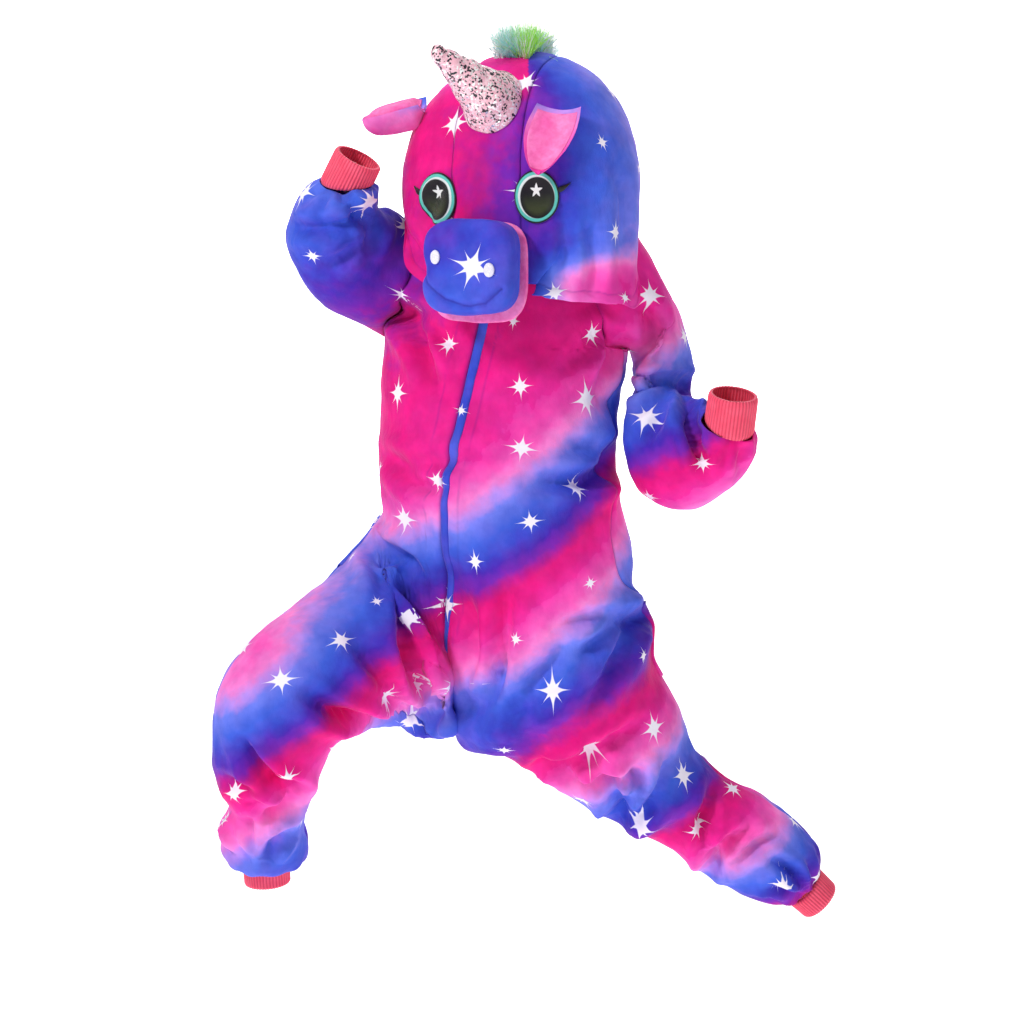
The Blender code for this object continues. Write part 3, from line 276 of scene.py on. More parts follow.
SLEEVE_FANS = {
    RIGHT: [
        Fan(*INNER_ELBOW[RIGHT], 216, 84, 4, 0.010, 0.10, 0.011, 0.008, 0.10),
        Fan(-0.21, 0.05, 250, 100, 4, 0.010, 0.06, 0.008, 0.005, -0.10),
    ],
    LEFT: [
        Fan(*INNER_ELBOW[LEFT], 226, 96, 5, 0.010, 0.11, 0.010, 0.008, -0.10),
        Fan(0.27, -0.25, 238, 100, 4, 0.010, 0.07, 0.009, 0.005, 0.10),
        Fan(0.16, -0.10, 288, 30, 2, 0.010, 0.09, 0.013, 0.005, 0.08),
    ],
}


def fan_creases(fans):
    creases = []
    for turn, fan in enumerate(fans):
        for k in range(fan.count):
            long = UNEVEN[(turn + k) % len(UNEVEN)]
            deep = UNEVEN[(turn + 3 * k + 2) % len(UNEVEN)]
            aside = (k + 0.5 * deep) / fan.count - 0.4
            way = math.radians(fan.heading + fan.spread * aside)
            out = (math.cos(way), math.sin(way))
            reach = fan.length * long
            bow = fan.bend * reach * deep
            first, middle, last = fan.start, fan.start + reach / 2, fan.start + reach
            creases.append(
                Crease(
                    fan.x + first * out[0],
                    fan.z + first * out[1],
                    fan.x + middle * out[0] - bow * out[1],
                    fan.z + middle * out[1] + bow * out[0],
                    fan.x + last * out[0],
                    fan.z + last * out[1],
                    fan.half_width,
                    fan.depth * deep,
                )
            )
    return creases


BODY_CREASES = fan_creases(BODY_FANS)
SLEEVE_CREASES = {half: fan_creases(fans) for half, fans in SLEEVE_FANS.items()}
BACK_CREASES = [
    Crease(-0.150, -0.110, -0.060, -0.150, 0.060, -0.130, 0.014, 0.005),
    Crease(0.130, -0.120, 0.060, -0.190, -0.040, -0.230, 0.014, 0.006),
    Crease(-0.140, -0.220, -0.040, -0.300, 0.080, -0.340, 0.018, 0.009),
    Crease(0.140, -0.280, 0.060, -0.360, -0.050, -0.400, 0.016, 0.007),
    Crease(-0.160, -0.380, -0.080, -0.440, 0.010, -0.520, 0.015, 0.008),
    Crease(0.160, -0.430, 0.080, -0.520, -0.020, -0.600, 0.017, 0.010),
    Crease(-0.190, -0.500, -0.120, -0.560, -0.070, -0.620, 0.013, 0.008),
    Crease(0.180, -0.540, 0.120, -0.640, 0.050, -0.690, 0.014, 0.008),
    Crease(0.240, -0.690, 0.220, -0.740, 0.170, -0.790, 0.012, 0.008),
    Crease(0.300, -0.750, 0.280, -0.790, 0.220, -0.830, 0.011, 0.007),
    Crease(-0.360, -0.620, -0.320, -0.640, -0.260, -0.640, 0.012, 0.007),
    Crease(-0.360, -0.730, -0.320, -0.745, -0.270, -0.740, 0.010, 0.007),
    Crease(0.020, -0.060, 0.010, -0.160, -0.010, -0.260, 0.016, 0.004),
    Crease(0.350, -0.800, 0.355, -0.840, 0.330, -0.880, 0.010, 0.006),
]
HOOD_CREASES = [
    Crease(0.128, 0.060, 0.140, -0.010, 0.132, -0.080, 0.012, 0.003),
    Crease(0.060, -0.080, 0.066, -0.040, 0.060, 0.020, 0.012, 0.003),
    Crease(0.095, -0.100, 0.102, -0.060, 0.090, -0.010, 0.012, 0.003),
    Crease(-0.110, -0.040, -0.100, 0.010, -0.080, 0.040, 0.010, 0.003),
]

# Stars of the print, scattered over all the cloth. A reach is half of a star's longest line.
STAR_SPACING = 0.076
STAR_REACHES = (0.011, 0.028)
STAR_TRIES = 9000  # places tried for a star
STAR_FACING = 0.12  # a star is left off cloth that turns further away from it than this cosine
MUZZLE_STAR_REACH = 0.030


def unit(v):
    return v / np.maximum(np.linalg.norm(v, axis=-1, keepdims=True), 1e-12)


def even(start, stop, steps):
    return np.linspace(start, stop, steps + 1)


# --- The body tube, worked out for whole grids of places at once -------------------------------------------


def body_rows(half):
    """Each row's middle, half axis, backward direction, reaches, and the angle that around = 1 stands for."""
    middles, axes, backs, fronts, rears, spans = [], [], [], [], [], []
    for row in TORSO:
        turn = math.radians(row.turn)
        tilt = math.radians(row.tilt)
        left = np.array([math.cos(turn) * math.cos(tilt), -math.sin(turn) * math.cos(tilt), -math.sin(tilt)])
        middles.append(np.array([row.x, row.y, row.z]))
        axes.append(half * row.half_width * left)
        backs.append(np.array([math.sin(turn), math.cos(turn), 0.0]))
        fronts.append(row.front)
        rears.append(row.back)
        spans.append(math.pi / 2)
    rows = LEGS[half]
    centres = [np.add(row.inner, row.outer) / 2 for row in rows]
    hip = np.array([TORSO[-1].x, TORSO[-1].y, TORSO[-1].z])
    for k, row in enumerate(rows):
        above = centres[k - 1] if k else (centres[0] + hip) / 2
        below = centres[min(k + 1, len(rows) - 1)]
        axis = np.subtract(row.outer, row.inner)
        middles.append(centres[k])
        axes.append(axis / 2)
        backs.append(unit(np.cross(axis, below - above)) * half)
        fronts.append(row.front)
        rears.append(row.back)
        spans.append(math.pi)
    return [np.array(a) for a in (middles, axes, backs, fronts, rears, spans)]


ROWS = {half: body_rows(half) for half in (LEFT, RIGHT)}


def row_points(half, around, index):
    middles, axes, backs, fronts, rears, spans = ROWS[half]
    angle = around * spans[index]
    reach = np.where(around < 0, fronts[index], rears[index])
    return (
        middles[index]
        + axes[index] * np.cos(angle)[..., None]
        + backs[index] * (reach * np.sin(angle))[..., None]
    )


def curve(before, here, there, after, share, first, last):
    share = share[..., None]
    leave = (there - before) / np.where(first, 1.0, 2.0)[..., None]
    arrive = (after - here) / np.where(last, 1.0, 2.0)[..., None]
    return (
        (2 * share**3 - 3 * share**2 + 1) * here
        + (share**3 - 2 * share**2 + share) * leave
        + (3 * share**2 - 2 * share**3) * there
        + (share**3 - share**2) * arrive
    )


def own_points(half, around, place):
    start = np.minimum(place.astype(int), LAST_ROW - 1)
    before = row_points(half, around, np.maximum(start - 1, 0))
    here = row_points(half, around, start)
    there = row_points(half, around, start + 1)
    after = row_points(half, around, np.minimum(start + 2, LAST_ROW))
    blend = (np.abs(around) ** EDGE_BLEND)[..., None]
    below = np.full(start.shape, CROTCH_ROW + 1)
    shared = (row_points(LEFT, around, below) + row_points(RIGHT, around, below)) / 2
    after = np.where((start == CROTCH_ROW - 1)[..., None], after + (shared - after) * blend, after)
    above = np.full(start.shape, CROTCH_ROW - 1)
    ones = np.ones(start.shape)
    shared = (row_points(half, ones, above) + row_points(half, -ones, above)) / 2
    before = np.where((start == CROTCH_ROW)[..., None], before + (shared - before) * blend, before)
    return curve(before, here, there, after, place - start, start == 0, start + 2 > LAST_ROW)


def tube_points(half, around, place):
    point = own_points(half, around, place)
    edge = np.sign(around)
    shared = (own_points(LEFT, edge, place) + own_points(RIGHT, edge, place)) / 2
    moved = point + (shared - own_points(half, edge, place)) * (np.abs(around) ** EDGE_BLEND)[..., None]
    keep = (place >= CROTCH_ROW) | (around == 0)
    return np.where(keep[..., None], point, moved)


def side_normals(half, around, place):
    low = np.maximum(around - PROBE, -1)
    high = np.minimum(around + PROBE, 1)
    across = tube_points(half, high, place) - tube_points(half, low, place)
    lower = tube_points(half, around, np.minimum(place + PROBE, LAST_ROW))
    upper = tube_points(half, around, np.maximum(place - PROBE, 0))
    return unit(np.cross(across, lower - upper)) * -half


def tube_normals(half, around, place):
    """Straight out of the cloth, the same on both sides of every seam."""
    total = side_normals(half, around, place)
    edge = np.abs(around) > 1 - 1e-6
    other = side_normals(-half, around, place)
    total = total + np.where((edge & (place <= CROTCH_ROW))[..., None], other, 0)
    other = side_normals(half, -around, place)
    total = total + np.where((edge & (place >= CROTCH_ROW))[..., None], other, 0)
    return unit(total)


ARMHOLE_MIDDLE = (ARMHOLE_TOP + ARMHOLE_BOTTOM) / 2
ARMHOLE_HALF = (ARMHOLE_BOTTOM - ARMHOLE_TOP) / 2


def armhole_places(steps):
    return ARMHOLE_MIDDLE - ARMHOLE_HALF * np.cos(even(0, math.pi, steps))


def armhole_reach(place):
    inside = 1 - ((place - ARMHOLE_MIDDLE) / ARMHOLE_HALF) ** 2
    return ARMHOLE_REACH * np.sqrt(np.maximum(inside, 0))


# --- Folds -------------------------------------------------------------------------------------------------

CREASE_POINTS = 14
CREASE_STRENGTH = 2.6
CREASE_NARROWING = 0.8


def crease_depths(points, normals, creases, side):
    """How far the creases push the cloth in. The cloth beside a trough rolls out a little."""
    flat = points[..., [0, 2]]
    facing = np.clip(normals[..., 1] * side * 2.2, 0, 1)
    total = np.zeros(flat.shape[:-1])
    for c in creases:
        ends = [np.array([c.x0, c.z0]), np.array([2 * c.x1 - (c.x0 + c.x2) / 2, 2 * c.z1 - (c.z0 + c.z2) / 2])]
        ends.append(np.array([c.x2, c.z2]))
        nearest = np.full(total.shape, 1e9)
        share = np.zeros(total.shape)
        for k in range(CREASE_POINTS + 1):
            t = k / CREASE_POINTS
            spot = ends[0] * (1 - t) ** 2 + ends[1] * 2 * t * (1 - t) + ends[2] * t * t
            away = np.sum((flat - spot) ** 2, axis=-1)
            closer = away < nearest
            nearest = np.where(closer, away, nearest)
            share = np.where(closer, t, share)
        length = np.linalg.norm(ends[2] - ends[0]) / CREASE_POINTS
        away = np.sqrt(np.maximum(nearest - (length / 3) ** 2 * 0.5, 0)) / (c.half_width * CREASE_NARROWING)
        fade = np.sin(np.pi * (0.04 + 0.92 * share)) ** 0.7
        total += c.depth * fade * (np.exp(-(away**2)) - 0.42 * np.exp(-((away - 2.0) ** 2)))
    return CREASE_STRENGTH * total * facing


def unevenness(points, size, height, seed):
    flat = points.reshape(-1, 3)
    shift = Vector((seed * 3.1, seed * 1.7, seed * 2.3))
    values = [noise.noise(Vector(p) / size + shift) for p in flat]
    return np.array(values).reshape(points.shape[:-1]) * height


def broad_folds(points, normals):
    """The solids' own largest folds."""
    flat = points[..., [0, 2]]
    total = np.zeros(flat.shape[:-1])
    for f in FOLDS:
        facing = normals[..., 1] * f.side
        spots = [np.array([f.x0, f.z0]), np.array([f.x1, f.z1]), np.array([f.x2, f.z2])]
        near = np.minimum(run_distance(flat, spots[0], spots[1]), run_distance(flat, spots[1], spots[2]))
        total += f.depth * np.exp(-((near / f.half_width) ** 2)) * np.clip(2 * facing, 0, 1)
    return total


def run_distance(flat, start, end):
    run = end - start
    share = np.clip(np.sum((flat - start) * run, axis=-1) / np.dot(run, run), 0, 1)
    return np.linalg.norm(flat - start - run * share[..., None], axis=-1)


def edge_distances(grid):
    """Each point's distance along its row to the row's two ends."""
    steps = np.linalg.norm(np.diff(grid, axis=1), axis=-1)
    from_first = np.concatenate([np.zeros((len(grid), 1)), np.cumsum(steps, axis=1)], axis=1)
    return from_first, from_first[:, -1:] - from_first


SEAM_DIP = 0.0016
SEAM_REACH = 0.0035


def seam_dip(distance):
    """The cloth turns in at a seam, and swells a little beside it."""
    return SEAM_DIP * (np.exp(-((distance / SEAM_REACH) ** 2)) - 0.35 * np.exp(-(((distance - 0.009) / 0.005) ** 2)))


# --- Meshes ------------------------------------------------------------------------------------------------


def grid_normals(grid, closed=False):
    if closed:
        around = np.roll(grid, -1, axis=1) - np.roll(grid, 1, axis=1)
    else:
        around = np.gradient(grid, axis=1)
    down = np.gradient(grid, axis=0)
    return unit(np.cross(around, down))


def grid_faces(rows, columns, closed, offset=0):
    r, c = np.meshgrid(np.arange(rows - 1), np.arange(columns if closed else columns - 1), indexing="ij")
    n = (c + 1) % columns
    quads = np.stack([r * columns + c, (r + 1) * columns + c, (r + 1) * columns + n, r * columns + n], axis=-1)
    return quads.reshape(-1, 4) + offset


def make_mesh(name, points, faces, material):
    mesh = bpy.data.meshes.new(name)
    mesh.from_pydata([tuple(p) for p in points.tolist()], [], [tuple(f) for f in faces.tolist()])
    mesh.materials.append(material)
    mesh.shade_smooth()
    piece = bpy.data.objects.new(name, mesh)
    bpy.context.scene.collection.objects.link(piece)
    return piece


def set_values(piece, name, values):
    attribute = piece.data.attributes.new(name, "FLOAT", "POINT")
    attribute.data.foreach_set("value", np.asarray(values, dtype=np.float32).ravel())


def add_shell(name, grid, normals, material, closed=False, thickness=FLEECE):
    """A thin shell with its rims, from its outer grid and the directions out of it."""
    rows, columns = grid.shape[:2]
    inner = grid - normals * thickness
    points = np.concatenate([grid.reshape(-1, 3), inner.reshape(-1, 3)])
    depth = rows * columns
    outside = grid_faces(rows, columns, closed)
    faces = [outside, outside[:, ::-1] + depth]
    spans = columns if closed else columns - 1
    c = np.arange(spans)
    n = (c + 1) % columns
    last = (rows - 1) * columns
    faces.append(np.stack([c, n, depth + n, depth + c], axis=-1))
    faces.append(np.stack([last + n, last + c, depth + last + c, depth + last + n], axis=-1))
    if not closed:
        r = np.arange(rows - 1) * columns
        faces.append(np.stack([r, depth + r, depth + r + columns, r + columns], axis=-1))
        r = r + columns - 1
        faces.append(np.stack([r + columns, depth + r + columns, depth + r, r], axis=-1))
    faces = np.concatenate(faces)
    sample = np.cross(grid[1, 0] - grid[0, 0], grid[0, 1] - grid[0, 0])
    if np.dot(sample, normals[0, 0]) < 0:
        faces = faces[:, ::-1]
    return make_mesh(name, points, faces, material)


def print_phase(points):
    """Where the cloth lies in the print's run of colours: whole numbers are pink, halves are blue."""
    across = points[..., 0] * math.sin(PRINT_RISE) - points[..., 2] * math.cos(PRINT_RISE) + 0.25 * points[..., 1]
    return np.interp(across, PRINT_PLACES, PRINT_PHASES)


PRINT_RISE = math.radians(35)
PRINT_PLACES = [-0.300, -0.200, -0.100, 0.030, 0.150, 0.195, 0.285, 0.375, 0.485, 0.610, 0.715, 0.825, 0.930, 1.05]
PRINT_PHASES = [-1.00, -0.60, -0.42, -0.20, -0.06, 0.03, 0.50, 1.00, 1.50, 2.02, 2.50, 3.02, 3.55, 4.10]


def smooth_step(value, low, high):
    t = np.clip((value - low) / (high - low), 0, 1)
    return t * t * (3 - 2 * t)


def hood_phase(points):
    """Magenta on the wearer's right, violet and blue across the middle, sky blue on the left, pink low down."""
    x = points[..., 0] + 0.35 * (points[..., 1] + 0.16) * np.sign(points[..., 0] - 0.02)
    z = points[..., 2]
    phase = np.interp(x, [-0.10, -0.045, 0.000, 0.040, 0.075, 0.125, 0.200], [0.83, 0.80, 0.70, 0.62, 0.47, 0.37, 0.26])
    phase = phase - 0.30 * smooth_step(-z, 0.030, 0.085) * smooth_step(x, 0.00, 0.05)
    return phase + 0.22 * smooth_step(z, 0.125, 0.175) * smooth_step(-x, -0.05, 0.0)


star_spots = []
scatter = np.random.default_rng(7)


def gather_stars(pieces, muzzle):
    """Sets one star on the middle of the muzzle's front and scatters the rest over the other fleece."""
    front = muzzle["grid"].reshape(-1, 3)
    beside = np.linalg.norm((front - front.mean(axis=0))[:, [0, 2]], axis=1)
    middle = int(np.argmin(front[:, 1] + beside))
    star_spots.append((front[middle], muzzle["normals"].reshape(-1, 3)[middle], MUZZLE_STAR_REACH))
    others = [p for p in pieces if p is not muzzle]
    points = np.concatenate([p["grid"].reshape(-1, 3) for p in others])
    normals = np.concatenate([p["normals"].reshape(-1, 3) for p in others])
    placed = np.array([s[0] for s in star_spots])
    for k in scatter.permutation(len(points))[:STAR_TRIES]:
        if np.min(np.linalg.norm(placed - points[k], axis=1)) < STAR_SPACING:
            continue
        star_spots.append((points[k], normals[k], scatter.uniform(*STAR_REACHES)))
        placed = np.vstack([placed, points[k]])


def map_stars(piece):
    """A map that measures each face's corners from the nearest star, in that star's own turned directions."""
    mesh = piece.data
    count = len(mesh.vertices)
    points = np.empty(count * 3)
    mesh.vertices.foreach_get("co", points)
    points = points.reshape(-1, 3)
    loops = np.empty(len(mesh.loops), dtype=np.int32)
    mesh.loops.foreach_get("vertex_index", loops)
    quads = loops.reshape(-1, 4)
    centres = points[quads].mean(axis=1)
    spots = np.array([s[0] for s in star_spots])
    reaches = np.array([s[2] for s in star_spots])
    away = np.full(len(centres), 9.0)
    nearest = np.zeros(len(centres), dtype=int)
    for k in range(len(spots)):
        here = np.linalg.norm(centres - spots[k], axis=1) / reaches[k]
        closer = here < away
        away = np.where(closer, here, away)
        nearest = np.where(closer, k, nearest)
    sides = []
    ups = []
    for k, (_, normal, reach) in enumerate(star_spots):
        level = unit(np.cross(np.array([0.0, 0.0, 1.0]), normal) + np.array([1e-6, 0, 0]))
        rise = np.cross(normal, level)
        turn = math.radians((k * 37) % 41 - 20)
        stretch = 1 + 0.16 * math.sin(k * 2.4)
        sides.append((level * math.cos(turn) + rise * math.sin(turn)) / (reach * stretch))
        ups.append((rise * math.cos(turn) - level * math.sin(turn)) * stretch / reach)
    sides = np.array(sides)
    ups = np.array(ups)
    offset = points[quads] - spots[nearest][:, None, :]
    u = np.sum(offset * sides[nearest][:, None, :], axis=-1)
    v = np.sum(offset * ups[nearest][:, None, :], axis=-1)
    values = np.stack([u, v], axis=-1)
    star_normals = np.array([s[1] for s in star_spots])
    across = np.cross(points[quads[:, 2]] - points[quads[:, 0]], points[quads[:, 3]] - points[quads[:, 1]])
    across /= np.linalg.norm(across, axis=1, keepdims=True) + 1e-12
    facing = np.abs(np.sum(across * star_normals[nearest], axis=-1))
    values[(away > 3) | (facing < STAR_FACING)] = 5.0
    layer = mesh.uv_layers.new(name="motif")
    layer.data.foreach_set("uv", values.astype(np.float32).ravel())


# --- Materials ---------------------------------------------------------------------------------------------


class Nodes:
    """Short ways to add and join shader nodes."""

    def __init__(self, name, roughness):
        self.material = bpy.data.materials.new(name)
        self.material.use_nodes = True
        self.tree = self.material.node_tree
        self.shader = self.tree.nodes["Principled BSDF"]
        self.shader.inputs["Roughness"].default_value = roughness

    def add(self, kind, **values):
        node = self.tree.nodes.new(kind)
        for key, value in values.items():
            setattr(node, key, value)
        return node

    def join(self, source, target):
        self.tree.links.new(source, target)

    def math(self, operation, first, second=None, clamp=False):
        node = self.add("ShaderNodeMath", operation=operation, use_clamp=clamp)
        for socket, value in zip(node.inputs, (first, second)):
            if value is None:
                continue
            if isinstance(value, (int, float)):
                socket.default_value = value
            else:
                self.join(value, socket)
        return node.outputs[0]

    def value(self, attribute):
        return self.add("ShaderNodeAttribute", attribute_name=attribute).outputs["Fac"]

    def place(self):
        return self.add("ShaderNodeTexCoord").outputs["Object"]

    def cloud(self, scale, detail=3.0, source=None, stretch=None):
        node = self.add("ShaderNodeTexNoise")
        node.inputs["Scale"].default_value = scale
        node.inputs["Detail"].default_value = detail
        source = source or self.place()
        if stretch:
            mapping = self.add("ShaderNodeMapping")
            mapping.inputs["Scale"].default_value = stretch
            self.join(source, mapping.inputs["Vector"])
            source = mapping.outputs[0]
        self.join(source, node.inputs["Vector"])
        return node.outputs["Fac"]

    def ramp(self, source, stops, interpolation="EASE"):
        node = self.add("ShaderNodeValToRGB")
        node.color_ramp.interpolation = interpolation
        elements = node.color_ramp.elements
        while len(elements) < len(stops):
            elements.new(0.5)
        for element, (place, color) in zip(elements, stops):
            element.position = place
            element.color = (*srgb(color), 1.0)
        self.join(source, node.inputs[0])
        return node.outputs[0]

    def mix(self, share, first, second, blend="MIX"):
        node = self.add("ShaderNodeMix", data_type="RGBA", blend_type=blend)
        for socket, value in ((node.inputs[0], share), (node.inputs[6], first), (node.inputs[7], second)):
            if isinstance(value, (int, float)):
                socket.default_value = value
            elif isinstance(value, str):
                socket.default_value = (*srgb(value), 1.0)
            else:
                self.join(value, socket)
        return node.outputs[2]

    def span(self, source, low, high, start=0.0, stop=1.0):
        node = self.add("ShaderNodeMapRange")
        self.join(source, node.inputs["Value"])
        for key, value in zip(("From Min", "From Max", "To Min", "To Max"), (low, high, start, stop)):
            node.inputs[key].default_value = value
        return node.outputs[0]

    def bump(self, heights):
        """heights: (source, strength, distance) rows, the first laid on first."""
        normal = None
        for source, strength, distance in heights:
            node = self.add("ShaderNodeBump")
            node.inputs["Strength"].default_value = strength
            node.inputs["Distance"].default_value = distance
            self.join(source, node.inputs["Height"])
            if normal:
                self.join(normal, node.inputs["Normal"])
            normal = node.outputs[0]
        self.join(normal, self.shader.inputs["Normal"])

    def color(self, source):
        self.join(source, self.shader.inputs["Base Color"])

    def sheen(self, weight, roughness=0.4, tint="FFFFFF"):
        self.shader.inputs["Sheen Weight"].default_value = weight
        self.shader.inputs["Sheen Roughness"].default_value = roughness
        self.shader.inputs["Sheen Tint"].default_value = (*srgb(tint), 1.0)


def srgb(code):
    values = [int(code[k : k + 2], 16) / 255 for k in (0, 2, 4)]
    return [v / 12.92 if v <= 0.04045 else ((v + 0.055) / 1.055) ** 2.4 for v in values]


PRINT_STOPS = [
    (0.00, "F835A8"),
    (0.11, "FF5CBF"),
    (0.18, "FF86D8"),
    (0.25, "C090F0"),
    (0.32, "6E80F0"),
    (0.43, "4266E2"),
    (0.54, "3A48CC"),
    (0.62, "4826B6"),
    (0.70, "7C20B2"),
    (0.76, "C01090"),
    (0.82, "EA0A80"),
    (0.90, "F2148A"),
    (1.00, "F4289E"),
]
STAR_WHITE = "F7F1FF"


STAR_THINNESS = 0.43
STAR_TURNED = 0.86  # how much larger the coordinates of the turned star are, along the diagonals, over the root of 2


def star_mask(n):
    """Eight uneven thin points: a four-pointed star and a smaller one turned between its points."""
    layer = n.add("ShaderNodeUVMap", uv_map="motif").outputs[0]
    parts = n.add("ShaderNodeSeparateXYZ")
    n.join(layer, parts.inputs[0])
    x, y = parts.outputs[0], parts.outputs[1]
    turned_x = n.math("MULTIPLY", n.math("ADD", x, y), STAR_TURNED)
    turned_y = n.math("MULTIPLY", n.math("SUBTRACT", x, y), STAR_TURNED * 1.12)
    reaches = []
    for first, second in ((x, y), (turned_x, turned_y)):
        first = n.math("POWER", n.math("ABSOLUTE", first), STAR_THINNESS)
        second = n.math("POWER", n.math("ABSOLUTE", second), STAR_THINNESS)
        reaches.append(n.math("ADD", first, second))
    return n.span(n.math("MINIMUM", *reaches), 1.07, 1.0)


def fleece(name, phase_name="phase", sheen=0.22):
    """Short-pile flannel fleece: a soft print of colour bands and stars, clouded nap and a silky sheen."""
    n = Nodes(name, 0.78)
    drift = n.math("MULTIPLY", n.math("SUBTRACT", n.cloud(7.0, 2.0), 0.5), 0.26)
    fringe = n.math("MULTIPLY", n.math("SUBTRACT", n.cloud(55.0, 4.0), 0.5), 0.12)
    phase = n.math("ADD", n.math("ADD", n.value(phase_name), drift), fringe)
    base = n.ramp(n.math("FRACT", n.math("ADD", phase, 10.0)), PRINT_STOPS, "LINEAR")
    cloudy = n.cloud(24.0, 5.0)
    base = n.mix(n.span(cloudy, 0.45, 0.78, 0.0, 0.12), base, "D050B8", "SCREEN")
    base = n.mix(n.span(n.cloud(38.0, 3.0), 0.35, 0.68, 0.22, 0.0), base, "4A10A0", "MULTIPLY")
    base = n.mix(star_mask(n), base, STAR_WHITE)
    stitch_and_shadow_lines = n.value("stitch_and_shadow")
    # Dark indigo along the stitch lines and seams, and a painted shadow line in the gap beside the zip.
    base = n.mix(n.math("MULTIPLY", stitch_and_shadow_lines, 0.55), base, "2B1480")
    n.color(base)
    n.sheen(sheen, 0.3, "F7B8F0")
    n.shader.inputs["Specular IOR Level"].default_value = 0.2
    nap = n.cloud(150.0, 4.0, stretch=(1.0, 1.0, 0.45))
    pile = n.cloud(900.0, 2.0)
    n.bump([(nap, 0.35, 0.0022), (pile, 0.35, 0.0008), (stitch_and_shadow_lines, -0.5, 0.0010)])
    n.join(n.span(n.cloud(60.0, 3.0), 0.3, 0.7, 0.68, 0.88), n.shader.inputs["Roughness"])
    return n.material


def plain_fleece(name, color, pale, dark):
    n = Nodes(name, 0.8)
    base = n.mix(n.span(n.cloud(30.0, 4.0), 0.3, 0.75), color, pale)
    base = n.mix(n.span(n.cloud(160.0, 3.0), 0.35, 0.7, 0.35, 0.0), base, dark, "MULTIPLY")
    n.color(base)
    n.sheen(0.25, 0.35, "FFD0F0")
    n.bump([(n.cloud(150.0, 4.0), 0.35, 0.002), (n.cloud(900.0, 2.0), 0.35, 0.0008)])
    return n.material


def rib_knit():
    """Rib knit: the ribs are in the mesh, and fine loops and painted shade in the rib valleys are here."""
    n = Nodes("rib_knit", 0.72)
    painted_valley_shade = n.value("painted_valley_shade")
    base = n.mix(n.span(n.cloud(70.0, 3.0), 0.3, 0.7), "FF5F7E", "F84A6C")
    # Painted shade: darker red in the valleys between the ribs.
    base = n.mix(n.math("MULTIPLY", painted_valley_shade, 0.75), base, "C8284E")
    n.color(base)
    n.sheen(0.35, 0.4, "FFD6DE")
    n.bump([(n.cloud(1100.0, 2.0), 0.4, 0.0006)])
    return n.material


def mane_fur():
    n = Nodes("mane_fur", 0.6)
    tone = n.value("tone")
    base = n.ramp(
        tone,
        [(0.0, "8CF0F4"), (0.22, "B8FFF8"), (0.45, "DCFFF8"), (0.65, "F0FFFC"), (0.8, "FFFFFF"), (1.0, "B4FF50")],
        "LINEAR",
    )
    # Painted shade: darker teal towards the strands' roots, deep in the tuft.
    base = n.mix(n.math("MULTIPLY", n.value("root"), 0.08), base, "4FC3CF")
    n.color(base)
    n.sheen(0.3, 0.4)
    n.bump([(n.cloud(1500.0, 2.0), 0.2, 0.0003)])
    return n.material


def horn_sequins():
    """Pale pink cloth with small glued flakes, most pink, some black and some bright."""
    n = Nodes("horn_sequin", 0.45)
    cells = n.add("ShaderNodeTexVoronoi")
    cells.inputs["Scale"].default_value = 430.0
    n.join(n.place(), cells.inputs["Vector"])
    parts = n.add("ShaderNodeSeparateColor")
    n.join(cells.outputs["Color"], parts.inputs[0])
    pick = parts.outputs[0]
    clumps = n.math("ADD", pick, n.math("MULTIPLY", n.math("SUBTRACT", n.cloud(70.0, 3.0), 0.5), 0.9))
    base = n.ramp(
        clumps,
        [(0.0, "2A2630"), (0.17, "3A3340"), (0.19, "F3B9C9"), (0.55, "F9CFDA"), (0.80, "FBDDE4"), (0.82, "FFFFFF")],
        "CONSTANT",
    )
    n.color(base)
    n.join(n.span(parts.outputs[1], 0.0, 1.0, 0.18, 0.6), n.shader.inputs["Roughness"])
    n.join(n.span(clumps, 0.80, 0.82, 0.0, 0.7), n.shader.inputs["Metallic"])
    n.bump([(cells.outputs["Distance"], -0.5, 0.0012), (n.cloud(120.0, 3.0), 0.4, 0.002)])
    return n.material


EYE_STAR = (0.02, 0.24)  # the middle of the eye's star, as shares of the eye's half sizes
STAR_POINTS = 5


